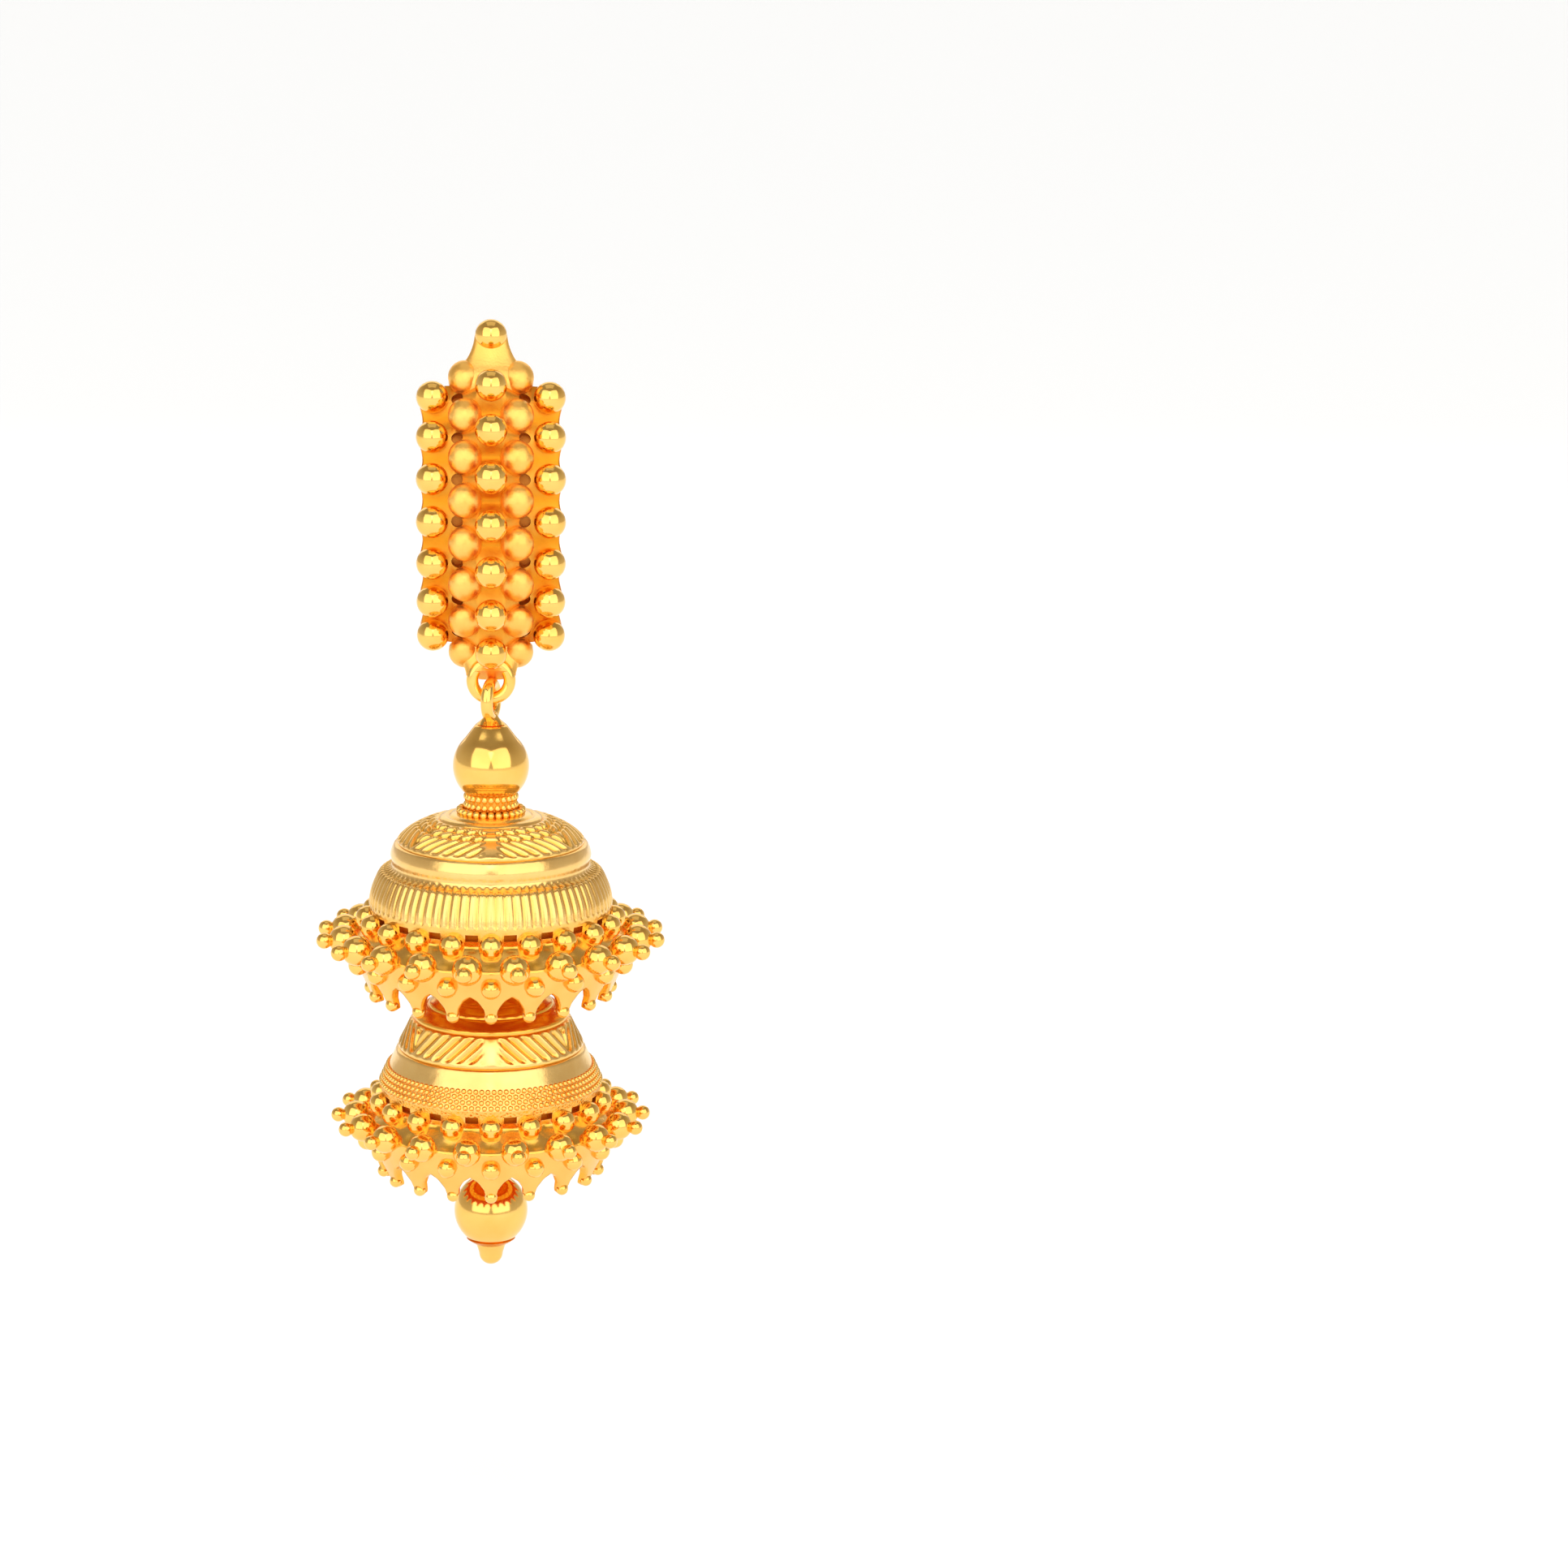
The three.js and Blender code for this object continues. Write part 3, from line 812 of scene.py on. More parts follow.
    def beads(self) -> list[bpy.types.Object]:
        """Sets the polished beads on the ridge, the edges and the tip, and the frosted domes.

        Returns:
            The rows.
        """
        turn = math.radians(self.row_turn)
        centre = {"Back": self.centre.y * MM, "Level": self.centre.z * MM}
        ball = {"Bead": self.bead_radius * MM, "Depth": 1.0, "Length": 1.0}
        dome = {"Bead": self.dome_radius * MM, "Depth": self.dome_depth_share,
                "Length": self.dome_length_share}
        rows = (
            ("ridge_beads", BURNISHED_GOLD, self.rows, 1, ball, 0.0,
             self.top + self.ridge_rise + self.bead_radius - self.ridge_bead_sink),
            ("edge_beads", BURNISHED_GOLD, self.rows, 2, ball,
             self.plate_half_width - self.edge_bead_inset,
             self.top + self.bead_radius - self.edge_bead_sink),
            ("frosted_domes", FROSTED_GOLD, self.rows + 1, 2, dome,
             self.dome_offset, self.top + self.dome_radius - self.dome_sink),
        )
        made = [
            self.trees.arc_row.grow(
                name, finish, Count=count, Rows=hands, Sides=32, Turn=turn,
                Start=-(count - 1) / 2 * turn, Arc=arc * MM, Side=side * MM, **shape, **centre)
            for name, finish, count, hands, shape, side, arc in rows
        ]
        made.append(self.trees.arc_row.grow(
            "tip_granule", BURNISHED_GOLD, Count=1, Rows=1, Sides=32, Turn=turn,
            Start=math.radians(self.tip_turn), Arc=self.tip_arc_radius * MM, Side=0.0,
            **ball, **centre))
        return made

    def neck(self, name: str, start: Vector, end: Vector, end_radius: float) -> bpy.types.Object:
        """Turns a flared, flattened neck between two points.

        Args:
            name: The piece's name.
            start: Middle of its wide end.
            end: Middle of its narrow end.
            end_radius: Radius there.

        Returns:
            The neck.
        """
        length = (end - start).length
        knots = [(end_radius + (self.neck_half_width - end_radius) * width, along * length)
                 for width, along in self.FLARE]
        curve = flowing(knots, self.FLARE_SPACING)
        outline = [(0.0, knots[0][1]), *map(tuple, curve), (0.0, length)]
        points, faces = turned(outline, PLAIN_SIDES)
        lean = Vector((0, 0, 1)).rotation_difference((end - start).normalized())
        placed = [start + lean @ Vector((x, y * self.neck_depth_share, z)) for x, y, z in points]
        return closed_piece(name, placed, faces, FROSTED_GOLD)

    def post(self) -> bpy.types.Object:
        """Turns the ear post with its foot and its groove.

        Returns:
            The post.
        """
        start, end = self.seat_gap, self.seat_gap + self.post_length
        wall, radius, groove = self.post_foot_wall, self.post_radius, end - self.post_groove_inset
        tip = [(radius * math.cos(a), end - radius + radius * math.sin(a))
               for a in np.linspace(0, math.pi / 2, self.POST_END_STEPS)[:-1]]
        waist = [(radius - self.post_groove_depth * math.sin(math.pi * t) ** 2,
                  groove - radius + 2 * radius * t)
                 for t in np.linspace(0, 1, self.GROOVE_STEPS)]
        outline = [
            (0.0, start), (self.post_foot_radius, start), (self.post_foot_radius, start + wall),
            *((radius * wide, start + high * wall) for wide, high in self.POST_FLARE),
            *waist, *tip, (0.0, end)]
        points, faces = turned(outline, POST_SIDES)
        return closed_piece("ear_post_wire", [(x, z, -y) for x, y, z in points], faces,
                            BURNISHED_GOLD)

    def seat(self) -> bpy.types.Object:
        """Turns the flat seat behind the plate.

        Returns:
            The seat.
        """
        soft = self.edge_round
        outline = [(0.0, -2 * self.seat_proud), (self.seat_radius, -2 * self.seat_proud),
                   (self.seat_radius, -soft), (self.seat_radius - soft / 3, -soft / 3),
                   (self.seat_radius - soft, 0.0), (0.0, 0.0)]
        points, faces = turned(outline, PLAIN_SIDES)
        return closed_piece("post_seat", [(x, z, -y) for x, y, z in points], faces, PLATE_GOLD,
                            TURNED_CREASE)

    def build(self) -> None:
        """Builds and dresses the whole stud."""
        ring_centre = self.on_arc(self.ring_turn, self.ring_arc_radius)
        end_turn = self.rows / 2 * self.row_turn
        base = self.top + self.plate_wall / 2
        ring = self.trees.wire_ring.grow(
            "stud_ring", BURNISHED_GOLD, Radius=self.ring_radius * MM,
            Wire=self.ring_wire_radius * MM, Yaw=0.0, Back=ring_centre.y * MM,
            Level=ring_centre.z * MM)
        plain = [
            self.plate(),
            self.seat(),
            self.neck("tip_neck", self.on_arc(end_turn, base),
                      self.on_arc(self.tip_turn, self.tip_arc_radius), self.bead_radius),
            self.neck("ring_neck", self.on_arc(-end_turn, base),
                      ring_centre + Vector((0, 0, self.ring_neck_gap)),
                      self.ring_radius + self.ring_wire_radius),
            *self.beads(),
        ]
        for piece in plain:
            settle(piece, Body.STUD, ["stud_plate"])
        settle(ring, Body.STUD, ["stud_plate"])
        settle(self.post(), Body.STUD, ["ear_post"])


@dataclass(frozen=True)
class BeadRow:
    """A row of beads on a bell's skirt: shares of its reach and drop, and of a column's turn."""

    name: str
    out: float
    down: float
    phase: float
    radius: float
    proud: float = 0.0
    sides: int = 24


@dataclass(frozen=True)
class Bell:
    """A domed bell with a beaded, scalloped skirt.

    dome holds shares of radius and height from the crown to the foot; rings are radii of the
    engraved lines; the leaves lie between two radii, and the flutes below a share of height.
    """

    name: str
    trees: Trees
    columns: int
    radius: float
    height: float
    reach: float
    drop: float
    dome: tuple[tuple[float, float], ...]
    inner_dome: tuple[int, ...]
    rings: tuple[float, ...]
    leaves: tuple[float, float]
    rows: tuple[BeadRow, ...]
    flute_top: float | None = None
    stipple_top: float | None = None
    wall: float = 0.45
    bore: float = 0.43
    land: float = 0.83
    steps: int = 24
    sprays: int = 3
    leaf_pitch: float = 1.1
    leaf_lean: float = 1.6
    leaf_depth: float = 0.17
    ring_depth: float = 0.12
    ring_half_width: float = 0.08
    flutes_per_column: int = 4
    flute_depth: float = 0.1
    hollow_depth: float = 0.17
    shade_edge: float = 0.0
    # How much darker the whole outer skirt is; its hollows darken fully, as painted shade.
    skirt_base_tone: float = 0.5
    grain_rows: int = 4
    grain_radius: float = 0.155

    SKIRT = ((0.0, 0.0), (-0.02, 0.05), (-0.08, 0.215), (0.8, 0.43), (0.04, 0.97), (-0.06, 1.04))
    ARCH = ((0.0, 0.72), (0.19, 0.78), (0.333, 0.88), (0.375, 0.97), (0.42, 1.01), (0.5, 1.03))
    RIM_DOWN = 0.43
    SLOT_DOWN = (0.079, 0.151)
    SLOT_STEPS = 8
    SLOT_FLOOR = 0.14
    SKIRT_ROWS = (0.025, 0.05, *SLOT_DOWN, 0.18, 0.2, 0.215, 0.23, 0.26, 0.3, 0.34, 0.38, 0.405,
                  0.42, RIM_DOWN)
    HEM_ROWS = (0.03, 0.08, 0.2, 0.35, 0.5, 0.65, 0.8, 0.92, 1.0)
    INSET_SHARE = 1.1
    FACE_SPACING = 0.09
    INSIDE_SPACING = 0.4
    EASE = (-0.014, 0.0, 0.014)
    RIM_HOLLOW = (0.385, 0.065)
    SHOULDER_HOLLOW = (0.235, 0.05)
    HOLLOW_ACROSS = 0.2
    STROKE_SHARPNESS = 3
    LEAF_FADE = 0.12
    SPRAY_GAP = 0.06
    SPRAY_FADE = 0.1
    VEIN_HALF_WIDTH = 0.09
    FLUTE_ARCH = 0.16
    FLUTE_FADE = 0.12
    FLUTE_LINE = 0.07
    SHADE_FADE = 0.5
    NEAR_WALL = 0.99
    STIPPLE_INSIDE = 0.96
    LAST_GRAIN_ROW = 0.98
    GRAINS_PER_COLUMN = 6
    CREASE = 75

    @property
    def crown(self) -> float:
        """Height of the crown, from the frame."""
        return node_span(self.name)[1].z

    @property
    def back(self) -> float:
        """How far back the axis is, from the frame."""
        low, high = node_span(self.name)
        return (low.y + high.y) / 2

    @property
    def foot(self) -> float:
        """Height of the dome's foot."""
        return self.crown - self.height

    def skirt_radius(self, down: np.ndarray | float) -> np.ndarray:
        """Radius of the skirt's face, its corners eased a little.

        Args:
            down: Share of the skirt's drop.

        Returns:
            The radius there.
        """
        table = np.array(self.SKIRT)
        eased = [np.interp(down + shift, table[:, 1], table[:, 0]) for shift in self.EASE]
        return self.radius + sum(eased) / len(eased) * self.reach

    def relief(self, angle: np.ndarray, face: np.ndarray, along: np.ndarray) -> np.ndarray:
        """Depth of the engraving on the dome.

        Args:
            angle: Angles round the bell.
            face: The dome's outline, as radius and height.
            along: Distance along that outline.

        Returns:
            For each row and angle, how far the face is cut in.
        """
        radius, height = face[:, :1], face[:, 1:]
        share = (self.crown - height) / self.height
        depth = np.zeros((len(face), len(angle)))
        upper = along[:, None]
        narrowing = np.flatnonzero(np.diff(face[:, 0]) < 0)
        widest = int(narrowing[0]) if len(narrowing) else len(face) - 1
        for ring in self.rings:
            spot = np.interp(ring, face[: widest + 1, 0], along[: widest + 1])
            depth += self.ring_depth * np.exp(-(((upper - spot) / self.ring_half_width) ** 2))
        spray = 2 * math.pi / self.sprays
        half = np.abs((angle[None, :] / spray) % 1 - 0.5) * spray
        path = upper + half * radius * self.leaf_lean
        stroke = np.abs(np.cos(math.pi * path / self.leaf_pitch)) ** self.STROKE_SHARPNESS
        first, last = self.leaves
        inside = np.clip((radius - first) / self.LEAF_FADE, 0, 1)
        inside = inside * np.clip((last - radius) / self.LEAF_FADE, 0, 1)
        clear = np.clip((math.pi / self.sprays - half - self.SPRAY_GAP) / self.SPRAY_FADE, 0, 1)
        vein = np.exp(-((half * radius / self.VEIN_HALF_WIDTH) ** 2))
        depth += self.leaf_depth * inside * np.maximum(stroke * clear, vein)
        if self.flute_top is not None:
            wave = np.abs(np.cos(0.5 * self.columns * self.flutes_per_column * angle))[None, :]
            start = self.flute_top * self.height + self.FLUTE_ARCH * (1 - wave)
            below = share * self.height - start
            depth += self.flute_depth * (1 - wave) * np.clip(below / self.FLUTE_FADE, 0, 1)
            depth += self.flute_depth * np.exp(-((below / self.FLUTE_LINE) ** 2))
        return depth

    def hollows(self, angle: np.ndarray, downs: np.ndarray) -> np.ndarray:
        """Depth of the hollows between the skirt's beads.

        Args:
            angle: Angles round the bell.
            downs: Share of the drop, for each row and angle.

        Returns:
            How far the skirt is pressed in.
        """
        column = angle * self.columns / (2 * math.pi)
        between_rim = np.abs((column + 0.5) % 1 - 0.5)
        between_shoulders = np.abs(column % 1 - 0.5)
        depth = np.zeros_like(downs)
        for across, (level, high) in (
                (between_rim, self.RIM_HOLLOW), (between_shoulders, self.SHOULDER_HOLLOW)):
            depth += self.hollow_depth * np.exp(
                -((across / self.HOLLOW_ACROSS) ** 2) - ((downs - level) / high) ** 2)
        return depth

    def hem(self, angle: np.ndarray) -> np.ndarray:
        """Share of the drop that the hem reaches at each angle, arched between the tips.

        Args:
            angle: Angles round the bell.

        Returns:
            The shares.
        """
        column = angle * self.columns / (2 * math.pi)
        across = np.abs(column % 1 - 0.5)
        table = np.array(self.ARCH)
        return np.interp(across, table[:, 0], table[:, 1])

    def sheet(self) -> bpy.types.Object:
        """Builds the sheet as one closed shell, from the crown down the face and up inside.

        Returns:
            The sheet, with its engraving, slots and arched hem.
        """
        count = self.columns * self.steps
        angle = 2 * math.pi * np.arange(count) / count
        table = np.array(self.dome) * (self.radius, -self.height) + (0, self.crown)
        face = flowing([(self.land, self.crown), *map(tuple, table)], self.FACE_SPACING)
        along = np.concatenate([[0.0], np.cumsum(np.hypot(*np.diff(face, axis=0).T))])
        slope = np.gradient(face, along, axis=0)
        slope /= np.hypot(*slope.T)[:, None]
        depth = self.relief(angle, face, along)
        dome_radius = face[:, :1] + slope[:, 1:] * depth
        dome_height = face[:, 1:] - slope[:, :1] * depth

        hem = self.hem(angle)
        lower = [self.RIM_DOWN + (hem - self.RIM_DOWN) * share for share in self.HEM_ROWS]
        downs = np.array([*(np.full(count, down) for down in self.SKIRT_ROWS), *lower])
        hollows = self.hollows(angle, downs)
        skirt_radius = self.skirt_radius(downs) - hollows
        skirt_height = self.foot - downs * self.drop
        inset = self.INSET_SHARE * self.wall
        edge_radius = skirt_radius[-1:] - inset / 2
        edge_height = skirt_height[-1:] - self.wall / 6

        marked = np.array([self.dome[i] for i in self.inner_dome]) * (self.radius, -self.height)
        marked += (0, self.crown)
        lean = np.array([slope[np.argmin(np.hypot(*(face - spot).T))] for spot in marked])
        under = marked + np.column_stack([lean[:, 1], -lean[:, 0]]) * self.wall
        knots = [(self.land, self.crown - self.wall), *map(tuple, under[:-1]),
                 (self.radius - inset, self.foot)]
        inner = flowing(knots, self.INSIDE_SPACING)[::-1]

        ones = np.ones((1, count))
        radii = np.vstack([
            self.bore * ones, dome_radius, skirt_radius, edge_radius,
            skirt_radius[::-1] - inset, inner[:, :1] * ones, self.bore * ones])
        heights = np.vstack([
            self.crown * ones, dome_height, skirt_height, edge_height,
            skirt_height[::-1], inner[:, 1:] * ones, (self.crown - self.wall) * ones])
        points = np.stack([radii * np.sin(angle), self.back - radii * np.cos(angle), heights],
                          axis=-1).reshape(-1, 3)

        # Tones that darken the gold: darker in the engraved grooves; painted shade on the lower dome's
        # top under the upper bell, in the skirt's hollows, along the hem's edge and over the whole
        # inside; the outer skirt a little darker all over.
        groove_tone = np.clip(depth / self.leaf_depth, 0, 1)
        shaded = np.clip((self.shade_edge - face[:, :1]) / self.SHADE_FADE, 0, 1)
        shade_and_patina = np.vstack([
            0 * ones, np.maximum(groove_tone, shaded),
            self.skirt_base_tone + (1 - self.skirt_base_tone) * hollows / self.hollow_depth,
            np.ones((2 + len(downs) + len(inner), count))]).ravel()

        slot_row = 3 + len(face)
        faces = self.shell_faces(len(radii), count, slot_row)
        points, faces = self.sink_slots(points, faces, count, slot_row)
        # The slot walls and floors get the full tone, painted shade as well.
        shade_and_patina = np.concatenate([shade_and_patina, np.ones(len(points) - len(shade_and_patina))])
        piece = closed_piece(f"{self.name}_sheet", points, faces, CHASED_GOLD, self.CREASE, shade_and_patina)
        slot_top, slot_foot = (self.foot - share * self.drop for share in self.SLOT_DOWN)
        # Painted shade: the slot faces take the dark recess gold.
        self.dress_band(
            piece, RECESS_SHADE_GOLD, (slot_foot, slot_top),
            (self.radius - self.NEAR_WALL * self.wall, self.radius - self.wall / 3),
            self.SLOT_STEPS / 2 / self.steps)
        if self.stipple_top is not None:
            self.dress_band(
                piece, STIPPLED_GOLD,
                (slot_top, self.crown - self.stipple_top * self.height),
                ((self.radius - self.wall) * self.STIPPLE_INSIDE, self.radius + self.reach))
        return piece

    def shell_faces(self, rows: int, count: int, slot_row: int) -> list[list[int]]:
        """Joins the shell's rows, and leaves out the faces where the slots go.

        Args:
            rows: Number of rows in the closed shell.
            count: Steps in each row.
            slot_row: Row at the top of the slots.

        Returns:
            The faces.
        """
        steps = np.arange(count)
        after = (steps + 1) % count
        within = np.abs(steps % self.steps + 0.5 - self.steps / 2) < self.SLOT_STEPS / 2
        faces: list[list[int]] = []
        for row in range(rows):
            here, below = row * count, (row + 1) % rows * count
            ring = np.column_stack([here + steps, here + after, below + after, below + steps])
            faces += (ring[~within] if row == slot_row else ring).tolist()
        return faces

    def sink_slots(
        self, points: np.ndarray, faces: list[list[int]], count: int, slot_row: int
    ) -> tuple[np.ndarray, list[list[int]]]:
        """Sinks a blind slot into each opening that the shell's face was left with.

        Args:
            points: The shell's corners.
            faces: Its faces.
            count: Steps in each row.
            slot_row: Row at the top of the slots.

        Returns:
            The corners and faces with the slots' walls and floors.
        """
        axis = np.array([0, self.back, 0])
        sunk: list[np.ndarray] = []
        for column in range(self.columns):
            left = column * self.steps + (self.steps - self.SLOT_STEPS) // 2
            steps = [(left + k) % count for k in range(self.SLOT_STEPS + 1)]
            upper = [slot_row * count + step for step in steps]
            lower = [corner + count for corner in upper]
            first = len(points) + sum(len(part) for part in sunk)
            rim = points[upper + lower]
            away = (rim - axis) * (1, 1, 0)
            share = (self.wall - self.SLOT_FLOOR) / np.hypot(away[:, :1], away[:, 1:2])
            sunk.append(rim - away * share)
            top = [first + k for k in range(len(steps))]
            foot = [corner + len(steps) for corner in top]
            for k in range(self.SLOT_STEPS):
                faces.append([top[k], top[k + 1], foot[k + 1], foot[k]])
                faces.append([upper[k], upper[k + 1], top[k + 1], top[k]])
                faces.append([lower[k], lower[k + 1], foot[k + 1], foot[k]])
            for k in (0, self.SLOT_STEPS):
                faces.append([upper[k], lower[k], foot[k], top[k]])
        return np.concatenate([points, *sunk]), faces

    def dress_band(
        self,
        piece: bpy.types.Object,
        finish: GoldFinish,
        heights: tuple[float, float],
        radii: tuple[float, float],
        across: float = 1.0,
    ) -> None:
        """Gives the faces of a band another gold.

        Args:
            piece: The sheet.
            finish: The other gold.
            heights: The band's foot and top.
            radii: Its inner and outer distance from the axis.
            across: How far it reaches from the middle between two columns, as a share of one.
        """
        piece.data.materials.append(finish.material())
        index = len(piece.data.materials) - 1
        pitch, back = 2 * math.pi / self.columns, self.back * MM
        foot, top, least, most = (size * MM for size in (*heights, *radii))
        for face in piece.data.polygons:
            middle = face.center
            if not foot < middle.z < top:
                continue
            out = math.hypot(middle.x, middle.y - back)
            turn = math.atan2(middle.x, back - middle.y) / pitch % 1
            if least < out < most and abs(turn - 0.5) < across:
                face.material_index = index

    def row(self, row: BeadRow) -> bpy.types.Object:
        """Sets one row of beads.

        Args:
            row: The row.

        Returns:
            The beads.
        """
        return self.trees.round_row.grow(
            f"{self.name}_{row.name}", BURNISHED_GOLD, Count=self.columns, Sides=row.sides,
            Row=(self.radius + row.out * self.reach + row.proud) * MM,
            Height=(self.foot - row.down * self.drop) * MM, Phase=row.phase,
            Bead=row.radius * MM, Stretch=1.0, Back=self.back * MM)

    def build(self) -> None:
        """Builds and dresses the whole bell."""
        settle(self.sheet(), Body.DROP, [self.name])
        for row in self.rows:
            settle(self.row(row), Body.DROP, [self.name])
        if self.stipple_top is not None:
            shares = np.linspace(self.stipple_top, self.LAST_GRAIN_ROW, self.grain_rows)
            for number, share in enumerate(shares, start=1):
                out = float(np.interp(share, [d for _, d in self.dome], [o for o, _ in self.dome]))
                line = self.trees.round_row.grow(
                    f"{self.name}_millgrain_{number}", BURNISHED_GOLD,
                    Count=self.columns * self.GRAINS_PER_COLUMN, Sides=8, Row=out * self.radius * MM,
                    Height=(self.crown - share * self.height) * MM, Phase=0.5 * (number % 2),
                    Bead=self.grain_radius * MM, Stretch=1.0, Back=self.back * MM)
                settle(line, Body.DROP, [self.name])


def skirt_rows(shoulder: float, rim: float, pearl: float, hem: float, tip: float) -> tuple[BeadRow, ...]:
    """Rows of beads on a skirt.

    Args:
        shoulder: Bead radius under the dome's foot.
        rim: Bead radius on the widest line.
        pearl: Radius of the pearls that stand out from it.
        hem: Bead radius over the legs of the hem.
        tip: Bead radius at the end of each leg.

    Returns:
        The rows, from the top down.
    """
    return (
        BeadRow("shoulder_beads", 0.04, 0.205, 0.0, shoulder),
        BeadRow("rim_beads", 1.0, 0.388, 0.5, rim),
        BeadRow("rim_pearls", 1.0, 0.388, 0.5, pearl, proud=rim + 0.55 * pearl),
        BeadRow("hem_beads", 0.62, 0.615, 0.0, hem, sides=20),
        BeadRow("hem_tips", -0.06, 0.975, 0.0, tip, sides=20),
    )


def bells(trees: Trees) -> tuple[Bell, Bell]:
    """Sizes of the two bells.

    Args:
        trees: The shape trees.

    Returns:
        The upper and the lower bell.
    """
    upper = Bell(
        "upper_bell", trees, columns=20, radius=6.64, height=5.02, reach=1.41, drop=5.03,
        dome=((0.232, 0.02), (0.43, 0.075), (0.596, 0.156), (0.709, 0.246), (0.781, 0.346),
              (0.821, 0.48), (0.808, 0.6), (0.907, 0.665), (0.954, 0.776), (0.987, 0.899),
              (1.0, 1.0)),
        inner_dome=(1, 3, 5, 6, 8, 10), rings=(2.3, 2.86, 3.4, 3.96, 5.16), leaves=(3.0, 5.08),
        rows=skirt_rows(0.68, 0.82, 0.44, 0.55, 0.36), flute_top=0.63)
    lower = Bell(
        "lower_bell", trees, columns=18, radius=6.05, height=5.46, reach=1.34, drop=4.97,
        dome=((0.36, 0.072), (0.553, 0.169), (0.633, 0.234), (0.724, 0.339), (0.771, 0.444),
              (0.836, 0.589), (0.887, 0.726), (0.945, 0.863), (1.0, 1.0)),
        inner_dome=(1, 3, 6, 8), rings=(2.7, 3.5, 4.3, 5.14), leaves=(4.36, 5.08),
        rows=skirt_rows(0.64, 0.76, 0.4, 0.52, 0.34), stipple_top=0.83,
        shade_edge=4.65)
    return upper, lower


